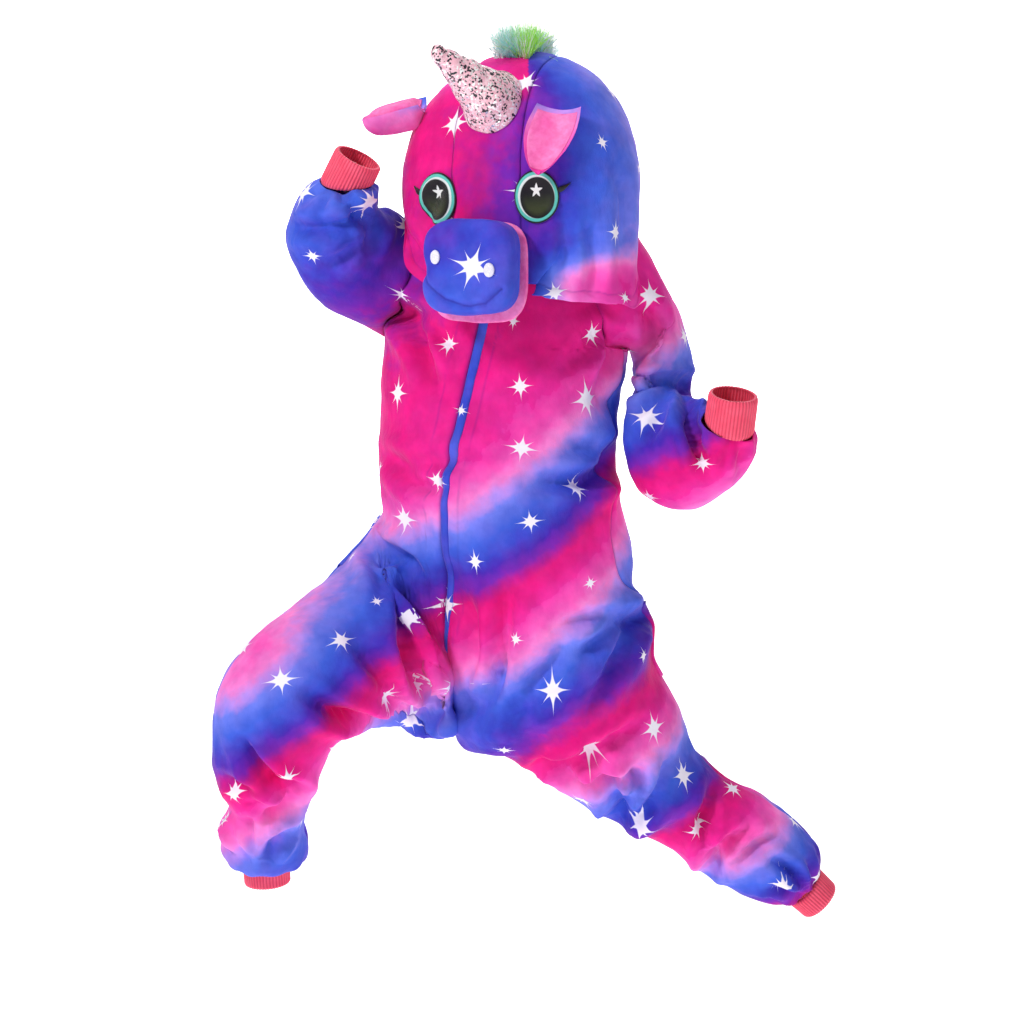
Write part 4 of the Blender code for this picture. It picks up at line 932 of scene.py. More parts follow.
def eye_disc():
    """The embroidered eye, drawn by distance from its middle: rims, white, iris with a painted sheen low on it, and a
    small star.
    """
    n = Nodes("eye_embroidery", 0.42)
    layer = n.add("ShaderNodeUVMap", uv_map="patch").outputs[0]
    parts = n.add("ShaderNodeSeparateXYZ")
    n.join(layer, parts.inputs[0])
    x, y = parts.outputs[0], parts.outputs[1]

    def length(dx, dy, sx, sy):
        a = n.math("POWER", n.math("MULTIPLY", n.math("ADD", x, -dx), 1 / sx), 2.0)
        b = n.math("POWER", n.math("MULTIPLY", n.math("ADD", y, -dy), 1 / sy), 2.0)
        return n.math("SQRT", n.math("ADD", a, b))

    rim = length(0.0, 0.0, 1.0, 1.0)
    base = n.mix(n.span(rim, 0.95, 0.92), "0B0B12", "63D8CC")
    base = n.mix(n.span(rim, 0.83, 0.80), base, "F3FBFB")
    iris = length(0.05, -0.04, 0.76, 0.78)
    base = n.mix(n.span(iris, 1.02, 0.98), base, "0A0A10")
    # Painted sheen: an olive glow over the lower part of the black iris.
    iris_sheen = n.math("MULTIPLY", n.span(iris, 0.95, 0.70), n.span(y, 0.15, -0.45))
    base = n.mix(n.math("MULTIPLY", iris_sheen, 0.55), base, "4E5A2C")
    star_x = n.math("ADD", x, -EYE_STAR[0])
    star_y = n.math("ADD", y, -EYE_STAR[1])
    turn = n.math("DIVIDE", n.math("ARCTAN2", star_x, star_y), 2 * math.pi / STAR_POINTS)
    spoke = n.math("ABSOLUTE", n.math("SUBTRACT", n.math("FRACT", n.math("ADD", turn, STAR_POINTS)), 0.5))
    edge = n.math("ADD", n.math("MULTIPLY", n.math("POWER", n.math("MULTIPLY", spoke, 2.0), 1.7), 0.17), 0.12)
    star = n.math("DIVIDE", length(*EYE_STAR, 1.0, 1.0), edge)
    base = n.mix(n.span(star, 1.02, 0.95), base, "FFFFFF")
    threads = n.add("ShaderNodeTexWave", wave_type="BANDS", bands_direction="DIAGONAL")
    threads.inputs["Scale"].default_value = 26.0
    threads.inputs["Distortion"].default_value = 1.2
    n.join(layer, threads.inputs["Vector"])
    # Painted shade in the grooves between the threads, where the bump below is lowest.
    base = n.mix(n.span(threads.outputs[1], 0.0, 1.0, 0.16, 0.0), base, "000000", "MULTIPLY")
    n.color(base)
    n.sheen(0.15, 0.3)
    n.bump([(threads.outputs[1], 0.45, 0.0006)])
    return n.material


def dark_thread(name, color, light):
    n = Nodes(name, 0.5)
    base = n.mix(n.span(n.cloud(800.0, 2.0), 0.35, 0.7), color, light)
    n.color(base)
    n.sheen(0.2, 0.3)
    n.bump([(n.cloud(1200.0, 2.0, stretch=(1.0, 1.0, 0.3)), 0.5, 0.0006)])
    return n.material


def zip_metal():
    n = Nodes("zip_enamel", 0.35)
    base = n.mix(n.span(n.cloud(260.0, 3.0), 0.35, 0.75), "4A2FB0", "6D55CE")
    n.color(base)
    n.bump([(n.cloud(500.0, 2.0), 0.15, 0.0003)])
    return n.material


# --- Body panels -------------------------------------------------------------------------------------------

fleece_pieces = []
PRINTED = fleece("printed_fleece_looks")
PINK = plain_fleece("pink_fleece_looks", "F965B8", "FF9AD8", "D8509E")
RIB = rib_knit()
FUR = mane_fur()
SEQUINS = horn_sequins()
EYES = eye_disc()
BLACK = dark_thread("black_felt", "08080C", "1B1B22")
PALE = dark_thread("pale_thread", "D9D4F2", "F4F1FF")
TAPE = dark_thread("indigo_tape", "23107A", "3B24A0")
ENAMEL = zip_metal()

PANEL_COLUMNS = 72
ROW_COUNTS = (18, 46, 60, 22, 158)
EDGE_CROWDING = 0.6  # how much closer the columns lie near a panel's sides
PUCKERS = 11
PUCKER_HEIGHT = 0.0026
PUCKER_ROWS = 2.0


def crowded(columns):
    s = even(0, 1, columns)
    return s - EDGE_CROWDING * np.sin(2 * np.pi * s) / (2 * np.pi)


def panel_places():
    ends = (0, ARMHOLE_TOP, ARMHOLE_BOTTOM, CROTCH_ROW - 1, CROTCH_ROW, LAST_ROW)
    parts = []
    for k, count in enumerate(ROW_COUNTS):
        part = armhole_places(count) if k == 1 else even(ends[k], ends[k + 1], count)
        parts.append(part[:-1])
    return np.append(np.concatenate(parts), LAST_ROW)


def body_cloth(half, around, place):
    """The body's cloth with all its folds, and the directions out of it."""
    points = tube_points(half, around, place)
    normals = tube_normals(half, around, place)
    depth = broad_folds(points, normals)
    depth += crease_depths(points, normals, BODY_CREASES, -1)
    depth += crease_depths(points, normals, BACK_CREASES, 1)
    depth += unevenness(points, 0.055, 0.0030, 1) + unevenness(points, 0.022, 0.0012, 2)
    gather = smooth_step(place, LAST_ROW - PUCKER_ROWS, LAST_ROW)
    wander = unevenness(points, 0.03, 1.6, 3)
    depth += PUCKER_HEIGHT * gather * np.sin(around * math.pi * PUCKERS + wander * 1.5) * (1.2 - gather)
    return points - normals * depth[..., None], normals


def keep_fleece(piece, grid, normals, phase, stitch_and_shadow):
    flat = phase.ravel()
    set_values(piece, "phase", np.concatenate([flat, flat]))
    # The stitch lines, with the painted shadow line beside the zip.
    flat = np.clip(stitch_and_shadow, 0, 1).ravel()
    set_values(piece, "stitch_and_shadow", np.concatenate([flat, flat]))
    fleece_pieces.append({"piece": piece, "grid": grid, "normals": normals})


def line_at(distance, place, half_width):
    return np.exp(-(((distance - place) / half_width) ** 2))


CENTRE_STITCH = 0.026
BACK_PHASE = 0.10


def make_panel(half, front):
    places = panel_places()
    reach = armhole_reach(places)[:, None]
    share = crowded(PANEL_COLUMNS)[None, :]
    around = -1 + (1 - reach) * share if front else reach + (1 - reach) * share
    place = np.broadcast_to(places[:, None], around.shape)
    grid, normals = body_cloth(half, around, place)
    first, last = edge_distances(grid)
    grid = grid - normals * (seam_dip(first) + seam_dip(last))[..., None]
    stitch_and_shadow = 0.5 * line_at(first, 0, 0.0012) + 0.5 * line_at(last, 0, 0.0012)
    if front:
        closure = (place < CROTCH_ROW) * 1.0
        stitch_and_shadow = stitch_and_shadow + closure * 0.45 * line_at(first, CENTRE_STITCH, 0.0011)
        # Painted shadow: a full-strength dark line along the right front's edge at the zip, where the gap beside the
        # placket lies in shade.
        if half == RIGHT:
            stitch_and_shadow = stitch_and_shadow + closure * line_at(first, 0, 0.0030)
    grid[:, 0] += unit(grid[:, 1] - grid[:, 0]) * SEAM_GAP
    grid[:, -1] += unit(grid[:, -2] - grid[:, -1]) * SEAM_GAP
    word = f"{'front' if front else 'back'}_{WORDS[half]}"
    piece = add_shell(f"{word}_cloth", grid, normals, PRINTED)
    phase = print_phase(grid) + (0 if front else BACK_PHASE)
    keep_fleece(piece, grid, normals, phase, stitch_and_shadow)
    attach(piece, "root")
    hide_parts(word)
    return piece, grid, normals, places


PIPING_PHASE = 0.50  # the fold over the zip is all blue


def add_strip(name, node, grid, normals, rows, from_first, near, far, lift, swell, material, phase_shift):
    """A narrow folded strip sewn along a panel's side, raised in the middle."""
    columns = 12
    first, last = edge_distances(grid)
    distance = first if from_first else last
    lines = []
    outs = []
    for r in rows:
        order = slice(None) if from_first else slice(None, None, -1)
        d = distance[r][order]
        line = []
        out = []
        for k in range(columns + 1):
            t = k / columns
            at = near + (far - near) * t
            spot = np.array([np.interp(at, d, grid[r][order][:, axis]) for axis in range(3)])
            way = unit(np.array([np.interp(at, d, normals[r][order][:, axis]) for axis in range(3)]))
            line.append(spot + way * (lift + swell * max(0.0, math.sin(math.pi * t)) ** 0.45))
            out.append(way)
        lines.append(line)
        outs.append(out)
    strip = np.array(lines)
    ways = np.array(outs)
    piece = add_shell(name, strip, ways, material, thickness=0.0011)
    phase = np.full(strip.shape[:2], PIPING_PHASE) if node == "zip_placket" else print_phase(strip) + phase_shift
    keep_fleece(piece, strip, ways, phase, np.zeros(strip.shape[:2]))
    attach(piece, "root")
    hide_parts(node)
    return piece


# --- Sleeves and cuffs -------------------------------------------------------------------------------------

ARMHOLE_STEPS = 48
SLEEVE_STEPS = 120
SLEEVE_PUCKERS = 13


def ring_points(row, half, down, angles):
    axis = np.subtract(row.outer, row.inner)
    ahead = unit(np.cross(axis, down)) * -half
    middle = np.add(row.inner, row.outer) / 2
    reach = np.where(np.sin(angles) < 0, row.front, row.back)
    return middle + axis / 2 * np.cos(angles)[:, None] - ahead * (reach * np.sin(angles))[:, None]


def row_middle(row):
    return np.add(row.inner, row.outer) / 2


def along_rings(rings, places):
    last = len(rings) - 1
    start = np.minimum(places.astype(int), last - 1)
    before = rings[np.maximum(start - 1, 0)]
    after = rings[np.minimum(start + 2, last)]
    share = (places - start)[:, None]
    count = rings.shape[1]
    share = np.broadcast_to(share, (len(places), count))
    first = np.broadcast_to((start == 0)[:, None], share.shape)
    final = np.broadcast_to((start + 2 > last)[:, None], share.shape)
    return curve(before, rings[start], rings[start + 1], after, share, first, final)


def outwards(grid, closed):
    """Directions out of a tube's grid, away from each row's middle."""
    normals = grid_normals(grid, closed)
    middle = grid.mean(axis=1, keepdims=True)
    flip = np.sum(normals * (grid - middle)) < 0
    return -normals if flip else normals


def sleeve_rings(half):
    places = armhole_places(ARMHOLE_STEPS)
    front, _ = body_cloth(half, -armhole_reach(places), places)
    back, _ = body_cloth(half, armhole_reach(places), places)
    rings = [np.concatenate([front, back[-2:0:-1]])]
    count = len(rings[0])
    rows = SLEEVES[half]
    cuff = WRIST_CUFFS[half]
    middles = [rings[0].mean(axis=0)] + [row_middle(row) for row in rows] + [np.array([cuff.x, cuff.y, cuff.z])]
    angles = -2 * np.pi * np.arange(count) / count
    for k, row in enumerate(rows):
        rings.append(ring_points(row, half, middles[k + 2] - middles[k], angles))
    return np.array(rings)


def make_sleeve(half):
    rings = sleeve_rings(half)
    grid = along_rings(rings, even(0, len(rings) - 1, SLEEVE_STEPS))
    normals = outwards(grid, True)
    creases = SLEEVE_CREASES[half]
    depth = crease_depths(grid, normals, creases, -1) + 0.8 * crease_depths(grid, normals, creases, 1)
    depth += unevenness(grid, 0.050, 0.0030, 4) + unevenness(grid, 0.020, 0.0012, 5)
    rows = np.linspace(0, 1, len(grid))[:, None]
    turn = np.linspace(0, 2 * np.pi, grid.shape[1], endpoint=False)[None, :]
    gather = smooth_step(rows, 0.80, 1.0)
    wander = unevenness(grid, 0.03, 1.6, 6)
    depth += PUCKER_HEIGHT * gather * np.sin(turn * SLEEVE_PUCKERS + wander * 1.5) * (1.2 - gather)
    depth *= smooth_step(rows, 0.0, 0.06)
    steps = np.linalg.norm(np.diff(grid, axis=0), axis=-1)
    down = np.concatenate([np.zeros((1, grid.shape[1])), np.cumsum(steps, axis=0)])
    depth += seam_dip(down) + 0.6 * seam_dip(down[-1:] - down)
    grid = grid - normals * depth[..., None]
    word = f"sleeve_{WORDS[half]}"
    piece = add_shell(f"{word}_cloth", grid, normals, PRINTED, closed=True)
    stitch_and_shadow = 0.5 * line_at(down, 0, 0.0015)
    keep_fleece(piece, grid, normals, print_phase(grid), stitch_and_shadow)
    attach(piece, "root")
    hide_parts(word)
    return rings


CUFF_RIBS = 44
CUFF_STEPS = 26
CUFF_SIDES = 264
CUFF_THICKNESS = 0.0030
RIB_HEIGHT = 0.0006


def make_cuff(name, ring, cuff):
    """A doubled rib-knit tube from the end of a sleeve or leg to its round mouth."""
    start = ring.mean(axis=0)
    end = np.array([cuff.x, cuff.y, cuff.z])
    ahead = unit(end - start)
    spoke = ring - start
    spoke = unit(spoke - ahead * np.sum(spoke * ahead, axis=1, keepdims=True))
    turn = np.linspace(0, 2 * np.pi, len(ring), endpoint=False)
    rows = []
    for k in range(CUFF_STEPS + 1):
        share = k / CUFF_STEPS
        mouth = end + spoke * cuff.radius
        line = ring + (mouth - ring) * share
        roll = 0.0022 * (smooth_step(np.array(share), 0.0, 0.10) - smooth_step(np.array(share), 0.90, 1.0) * 0.7)
        rib = RIB_HEIGHT * np.cos(turn * CUFF_RIBS)
        rows.append(line + spoke * (rib + roll - 0.0018)[:, None])
    grid = np.array(rows)
    normals = np.broadcast_to(spoke, grid.shape)
    piece = add_shell(f"{name}_knit", grid, normals, RIB, closed=True, thickness=CUFF_THICKNESS)
    # Painted shade, strongest in the valleys between the ribs.
    painted_valley_shade = np.broadcast_to((0.5 - 0.5 * np.cos(turn * CUFF_RIBS)) ** 2, grid.shape[:2]).ravel()
    set_values(piece, "painted_valley_shade", np.concatenate([painted_valley_shade, painted_valley_shade]))
    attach(piece, "root")
    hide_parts(name)


def resampled(ring, count):
    """The closed ring at evenly spaced places, count of them."""
    spots = np.arange(count) / count * len(ring)
    low = spots.astype(int) % len(ring)
    share = (spots - spots.astype(int))[:, None]
    return ring[low] * (1 - share) + ring[(low + 1) % len(ring)] * share


# --- Hood --------------------------------------------------------------------------------------------------

HOOD_LAST = len(HOOD) - 1
HOOD_TABLE = {field: np.array([getattr(row, field) for row in HOOD]) for field in HoodRow._fields}
EDGE_TABLE = {
    half: {field: np.array([getattr(row, field) for row in HOOD_EDGES[half]]) for field in HoodEdge._fields}
    for half in (LEFT, RIGHT)
}
WIDEST = 0.7


def head_places(beside, ahead, up, settle=0.0):
    beside, ahead, up, settle = np.broadcast_arrays(beside, ahead, up, settle)
    turn = np.radians(HEAD_TURN + (NECK_TURN - HEAD_TURN) * settle)
    middle = HEAD + (NECK - HEAD) * settle[..., None]
    across = np.stack([np.cos(turn), -np.sin(turn), 0 * turn], axis=-1)
    forward = np.stack([-np.sin(turn), -np.cos(turn), 0 * turn], axis=-1)
    lift = np.stack([0 * turn, 0 * turn, up], axis=-1)
    return middle + across * beside[..., None] + forward * ahead[..., None] + lift


def hood_sections(half, down, index):
    row = {field: values[index] for field, values in HOOD_TABLE.items()}
    edge = {field: values[index] for field, values in EDGE_TABLE[half].items()}
    angle = down / WIDEST * np.pi / 2
    drop = 1 - np.cos(angle)
    upper = (
        row["wide"] * np.sin(angle),
        row["mid_ahead"] + (row["wide_ahead"] - row["mid_ahead"]) * drop,
        row["mid_up"] + (row["wide_up"] - row["mid_up"]) * drop,
    )
    angle = (down - WIDEST) / (1 - WIDEST) * np.pi / 2
    gather = 1 - np.cos(angle)
    lower = (
        row["wide"] + (edge["beside"] - row["wide"]) * gather,
        row["wide_ahead"] + (edge["ahead"] - row["wide_ahead"]) * gather,
        row["wide_up"] + (edge["up"] - row["wide_up"]) * np.sin(angle),
    )
    beside, ahead, up = [np.where(down <= WIDEST, a, b) for a, b in zip(upper, lower)]
    return head_places(half * beside, ahead, up, row["settle"])


def hood_points(half, down, place):
    start = np.minimum(place.astype(int), HOOD_LAST - 1)
    before = hood_sections(half, down, np.maximum(start - 1, 0))
    here = hood_sections(half, down, start)
    there = hood_sections(half, down, start + 1)
    after = hood_sections(half, down, np.minimum(start + 2, HOOD_LAST))
    return curve(before, here, there, after, place - start, start == 0, start + 2 > HOOD_LAST)


def hood_normals(half, down, place):
    along = hood_points(half, down, np.minimum(place + PROBE, HOOD_LAST))
    along = along - hood_points(half, down, np.maximum(place - PROBE, 0))
    across = hood_points(half, np.minimum(down + PROBE, 1), place)
    across = across - hood_points(half, np.maximum(down - PROBE, 0), place)
    return unit(np.cross(across, along)) * half


def hood_seam(place):
    shares = np.arcsin(np.minimum(1, GUSSET_HALF / HOOD_TABLE["wide"])) / (np.pi / 2) * WIDEST
    start = np.minimum(place.astype(int), HOOD_LAST - 1)
    at = [shares[k][..., None] for k in (np.maximum(start - 1, 0), start, start + 1, np.minimum(start + 2, HOOD_LAST))]
    return curve(*at, place - start, start == 0, start + 2 > HOOD_LAST)[..., 0]


HOOD_STEPS = 150
HOOD_COLUMNS = 84
HOOD_HEM = 0.014


def dressed_hood(points, normals):
    depth = crease_depths(points, normals, HOOD_CREASES, -1)
    depth += unevenness(points, 0.060, 0.0032, 8) + unevenness(points, 0.024, 0.0012, 9)
    return points - normals * depth[..., None]


def make_hood_side(half):
    places = even(0, HOOD_LAST, HOOD_STEPS)
    seam = hood_seam(places)[:, None]
    down = seam + (1 - seam) * crowded(HOOD_COLUMNS)[None, :]
    place = np.broadcast_to(places[:, None], down.shape)
    normals = hood_normals(half, down, place)
    grid = dressed_hood(hood_points(half, down, place), normals)
    first, last = edge_distances(grid)
    hem = (place < HEM_ENDS[half]) * 1.0
    rolled = 0.0012 * line_at(last, HOOD_HEM, 0.0018) * hem - 0.0010 * line_at(last, HOOD_HEM / 2, 0.005) * hem
    grid = grid - normals * (seam_dip(first) + rolled)[..., None]
    stitch_and_shadow = 0.6 * line_at(first, 0, 0.0013) + 0.5 * line_at(last, HOOD_HEM, 0.0010) * hem
    grid[:, 0] += unit(grid[:, 1] - grid[:, 0]) * SEAM_GAP
    word = f"hood_{WORDS[half]}"
    piece = add_shell(f"{word}_cloth", grid, normals, PRINTED)
    keep_fleece(piece, grid, normals, hood_phase(grid), stitch_and_shadow)
    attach(piece, "root")
    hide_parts(word)


HEM_ENDS = {LEFT: 6.0, RIGHT: 4.0}


def make_gusset():
    places = even(0, HOOD_LAST, HOOD_STEPS)
    share = even(-1, 1, 32)[None, :]
    down = hood_seam(places)[:, None] * share
    place = np.broadcast_to(places[:, None], down.shape)
    sides = []
    for half in (LEFT, RIGHT):
        sides.append((hood_points(half, np.abs(down), place), hood_normals(half, np.abs(down), place)))
    left = (down > 0)[..., None]
    points = np.where(left, sides[0][0], sides[1][0])
    normals = np.where(left, sides[0][1], sides[1][1])
    grid = dressed_hood(points, normals)
    first, last = edge_distances(grid)
    grid = grid - normals * (seam_dip(first) + seam_dip(last))[..., None]
    grid[:, 0] += unit(grid[:, 1] - grid[:, 0]) * SEAM_GAP
    grid[:, -1] += unit(grid[:, -2] - grid[:, -1]) * SEAM_GAP
    stitch_and_shadow = 0.5 * line_at(first, 0, 0.0013) + 0.5 * line_at(last, 0, 0.0013)
    piece = add_shell("hood_gusset_cloth", grid, normals, PRINTED)
    keep_fleece(piece, grid, normals, hood_phase(grid), stitch_and_shadow)
    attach(piece, "root")
    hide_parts("hood_gusset")


def on_hood(beside, up, out=0.0):
    """The hood's cloth straight ahead of places beside and above the middle of the head."""
    beside, up = np.broadcast_arrays(np.asarray(beside, float), np.asarray(up, float))
    shape = beside.shape
    beside, up = beside.ravel(), up.ravel()
    across = head_places(1.0, 0.0, 0.0) - HEAD
    result = np.zeros((len(beside), 3))
    for half in (LEFT, RIGHT):
        mine = (beside >= 0) if half == LEFT else (beside < 0)
        if not mine.any():
            continue
        target = np.stack([beside[mine], up[mine]], axis=-1)
        down = np.full(len(target), 0.3)
        place = np.full(len(target), 2.5)
        for _ in range(14):
            here = hood_flat(half, down, place, across)
            by_down = (hood_flat(half, down + PROBE, place, across) - here) / PROBE
            by_place = (hood_flat(half, down, place + PROBE, across) - here) / PROBE
            miss = target - here
            det = by_down[:, 0] * by_place[:, 1] - by_down[:, 1] * by_place[:, 0]
            det = np.where(np.abs(det) < 1e-9, 1e-9, det)
            down = np.clip(down + (miss[:, 0] * by_place[:, 1] - miss[:, 1] * by_place[:, 0]) / det, 0.01, 0.99)
            place = np.clip(place + (by_down[:, 0] * miss[:, 1] - by_down[:, 1] * miss[:, 0]) / det, 0.01, 6)
        points = dressed_hood(hood_points(half, down, place), hood_normals(half, down, place))
        result[mine] = points + hood_normals(half, down, place) * np.broadcast_to(out, shape).ravel()[mine][:, None]
    return result.reshape(shape + (3,))


def hood_flat(half, down, place, across):
    point = hood_points(half, down, place) - HEAD
    return np.stack([point @ across, point[:, 2]], axis=-1)


# --- What is sewn to the hood ------------------------------------------------------------------------------


def add_dome(name, node, place_at, thickness, dome, material, rings=26, sides=80, map_name=None):
    """A closed patch from place_at(x, y, out) over the unit circle, a little domed, with a map of x and y."""
    radii = even(0, 1, rings)[1:]
    angles = np.linspace(0, 2 * np.pi, sides, endpoint=False)
    r, a = np.meshgrid(radii, angles, indexing="ij")
    x = np.concatenate([[0.0], (r * np.cos(a)).ravel()])
    y = np.concatenate([[0.0], (r * np.sin(a)).ravel()])
    height = thickness + dome * np.sqrt(np.maximum(0, 1 - x**2 - y**2))
    top = place_at(x, y, height)
    low = place_at(x, y, np.full(x.shape, PATCH_LIFT * 0.5))
    points = np.concatenate([top, low])
    count = len(x)
    faces = []
    for k in range(sides):
        n = (k + 1) % sides
        faces.append((0, 1 + k, 1 + n))
        faces.append((count, count + 1 + n, count + 1 + k))
        for ring in range(rings - 1):
            f = 1 + ring * sides
            faces.append((f + k, f + sides + k, f + sides + n, f + n))
            faces.append((count + f + n, count + f + sides + n, count + f + sides + k, count + f + k))
        f = 1 + (rings - 1) * sides
        faces.append((f + k, count + f + k, count + f + n, f + n))
    mesh = bpy.data.meshes.new(name)
    first = unit(np.cross(top[1] - top[0], top[2] - top[0]))
    outside = np.dot(first, top[0] - low[0]) > 0
    if not outside:
        faces = [tuple(reversed(f)) for f in faces]
    mesh.from_pydata([tuple(p) for p in points.tolist()], [], faces)
    mesh.materials.append(material)
    mesh.shade_smooth()
    if map_name:
        layer = mesh.uv_layers.new(name=map_name)
        flat = np.concatenate([np.stack([x, y], axis=-1)] * 2)
        loops = np.empty(len(mesh.loops), dtype=np.int32)
        mesh.loops.foreach_get("vertex_index", loops)
        layer.data.foreach_set("uv", flat[loops].astype(np.float32).ravel())
    piece = bpy.data.objects.new(name, mesh)
    bpy.context.scene.collection.objects.link(piece)
    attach(piece, "root")
    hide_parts(node)
    return piece


def make_eye(half):
    def place_at(x, y, out):
        return on_hood(half * (EYE_BESIDE + EYE_HALF_WIDTH * x), EYE_UP + EYE_HALF_HEIGHT * y, out)

    word = f"eye_{WORDS[half]}"
    add_dome(f"{word}_patch", word, place_at, 0.0022, 0.0022, EYES, map_name="patch")




def make_lash(half):
    """Felt flicks that point out and up from the eye's outer corner."""

    def place_at(x, y, out):
        along = (1 + x) / 2
        beside = EYE_BESIDE + EYE_HALF_WIDTH * 0.93 + LASH_LENGTH * along
        up = EYE_UP + 0.008 + 0.009 * along**1.6 + LASH_HALF_HEIGHT * (1.15 - along) * y
        return on_hood(half * beside, up, out)

    word = f"lash_{WORDS[half]}"
    add_dome(f"{word}_felt", word, place_at, 0.0020, 0.0008, BLACK, rings=8, sides=40)


def signed_power(value, power):
    return np.sign(value) * np.abs(value) ** power


MOUTH = [(-1.00, -0.10), (-0.80, -0.36), (-0.40, -0.66), (0.08, -0.82), (0.46, -0.74), (0.80, -0.46)]


def mouth_distance(x, y):
    best = np.full(x.shape, 9.0)
    flat = np.stack([x, y], axis=-1)
    for start, end in zip(MOUTH[:-1], MOUTH[1:]):
        best = np.minimum(best, run_distance(flat, np.array(start), np.array(end)))
    return best


def make_cushion(name, node, middle, halves, squareness, material, mouth):
    rings, sides = 96, 180
    level = np.pi * (even(0, 1, rings) * 0.998 + 0.001)[:, None]
    angle = np.linspace(0, 2 * np.pi, sides, endpoint=False)[None, :]
    beside = signed_power(np.sin(level), squareness) * signed_power(np.cos(angle), squareness)
    up = signed_power(np.sin(level), squareness) * signed_power(np.sin(angle), squareness)
    ahead = np.broadcast_to(signed_power(np.cos(level), squareness), beside.shape)
    waist = 0.0
    depth = np.zeros(beside.shape)
    stitch_and_shadow = np.zeros(beside.shape)
    if mouth:
        waist = 0.10 * np.exp(-(((up + 0.02) / 0.22) ** 2)) * smooth_step(-beside, 0.2, 1.0)
        away = mouth_distance(beside, up)
        front = smooth_step(ahead, -0.3, 0.2)
        depth = 0.0045 * np.exp(-((away / 0.07) ** 2)) * front
        stitch_and_shadow = np.exp(-((away / 0.024) ** 2)) * front
    points = head_places(
        middle[0] + halves[0] * beside * (1 - waist),
        middle[1] + halves[1] * ahead - depth,
        middle[2] + halves[2] * up,
    )
    centre = head_places(*middle)
    normals = unit(points - centre)
    sag = unevenness(points, 0.035, 0.0022, 12)
    points = points - normals * sag[..., None]
    flat = points.reshape(-1, 3)
    faces = grid_faces(rings + 1, sides, True)
    ends = [tuple(range(sides)), tuple(rings * sides + k for k in range(sides - 1, -1, -1))]
    mesh = bpy.data.meshes.new(name)
    faces = [tuple(f) for f in faces.tolist()] + ends
    mesh.from_pydata([tuple(p) for p in flat.tolist()], [], faces)
    mesh.materials.append(material)
    mesh.shade_smooth()
    piece = bpy.data.objects.new(name, mesh)
    bpy.context.scene.collection.objects.link(piece)
    face_out(piece, centre)
    phase = 0.54 + 0.9 * (points[..., 2] - centre[2])
    set_values(piece, "phase", phase)
    set_values(piece, "stitch_and_shadow", stitch_and_shadow)
    if mouth:
        fleece_pieces.append({"piece": piece, "grid": points, "normals": normals})
    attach(piece, "root")
    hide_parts(node)


def face_out(piece, centre):
    """Turns the mesh's faces over if they point at the centre."""
    mesh = piece.data
    total = 0.0
    for polygon in mesh.polygons:
        total += polygon.area * np.dot(polygon.normal, np.array(polygon.center) - centre)
    if total < 0:
        mesh.flip_normals()


def muzzle_front(beside, up, out):
    across = np.abs(beside / MUZZLE_HALVES[0]) ** (2 / MUZZLE_SQUARENESS)
    above = np.abs(up / MUZZLE_HALVES[2]) ** (2 / MUZZLE_SQUARENESS)
    ahead = np.maximum(0.0, 1 - across - above) ** (MUZZLE_SQUARENESS / 2)
    return head_places(
        MUZZLE_MIDDLE[0] + beside, MUZZLE_MIDDLE[1] + MUZZLE_HALVES[1] * ahead + out, MUZZLE_MIDDLE[2] + up
    )


def make_nostril(half):
    def place_at(x, y, out):
        beside = half * NOSTRIL_BESIDE + NOSTRIL_HALF_WIDTH * x
        up = NOSTRIL_UP * (3 if half == RIGHT else -1) + NOSTRIL_HALF_HEIGHT * y
        return muzzle_front(beside, up, out)

    word = f"nostril_{WORDS[half]}"
    add_dome(f"{word}_patch", word, place_at, 0.0018, 0.0014, PALE, rings=8, sides=36)


def make_horn():
    tip = head_places(*HORN_TIP)
    base = on_hood(np.array([0.0]), np.array([HORN_UP]), 0.002)[0]
    ahead = unit(tip - base)
    side = unit(np.cross(ahead, (0.0, 0.0, 1.0)))
    rise = np.cross(side, ahead)
    sides, rows = 120, 90
    angles = np.linspace(0, 2 * np.pi, sides, endpoint=False)
    foot = on_hood(-HORN_RADIUS * np.cos(angles), HORN_UP + HORN_RADIUS * np.sin(angles), 0.001)
    grid = [foot]
    for row in range(1, rows + 1):
        share = row / rows
        radius = HORN_TIP_RADIUS + (HORN_RADIUS - HORN_TIP_RADIUS) * (1 - share) ** 1.15
        radius *= math.sqrt(max(0.0, 1 - max(0.0, (share - 0.93) / 0.075) ** 2)) if share > 0.93 else 1.0
        centre = base + (tip + ahead * HORN_TIP_RADIUS * 0.7 - base) * share
        ring = centre + side * np.cos(angles)[:, None] * radius + rise * np.sin(angles)[:, None] * radius
        blend = smooth_step(np.array(share), 0.0, 0.16)
        grid.append(ring * blend + (foot + (centre - base)) * (1 - blend))
    grid = np.array(grid)
    normals = outwards(grid, True)
    depth = unevenness(grid, 0.016, 0.0016, 14)
    turn = np.linspace(0, 2 * np.pi, sides, endpoint=False)[None, :]
    rows_share = np.linspace(0, 1, rows + 1)[:, None]
    depth += 0.0007 * np.cos(turn * 1.0 + rows_share * 26)
    grid = grid - normals * depth[..., None]
    piece = add_shell("horn_sequins", grid, normals, SEQUINS, closed=True, thickness=0.0012)
    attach(piece, "root")
    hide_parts("horn")


def ear_points(half, along, across, out):
    ear = EARS[half]
    base = on_hood(np.array([ear.base[0]]), np.array([ear.base[1]]), EAR_LIFT)[0]
    tip = head_places(*ear.tip)
    side = unit(head_places(*ear.across) - HEAD)
    normal = unit(np.cross(tip - base, side))
    width = ear.half_width * np.sqrt(np.maximum(0, 1 - along**2.6)) * (0.80 + 0.55 * along * (1 - along))
    hollow = ear.cup * (across**2 - 0.4) * np.cos(along * 0.9)
    spot = base + (tip - base) * along[..., None] + side * (width * across)[..., None]
    return spot + normal * (hollow + out)[..., None]


# How far each ear's back and front layers swell from the seam between them
EAR_LOFTS = {LEFT: (0.007, 0.005), RIGHT: (0.022, 0.016)}


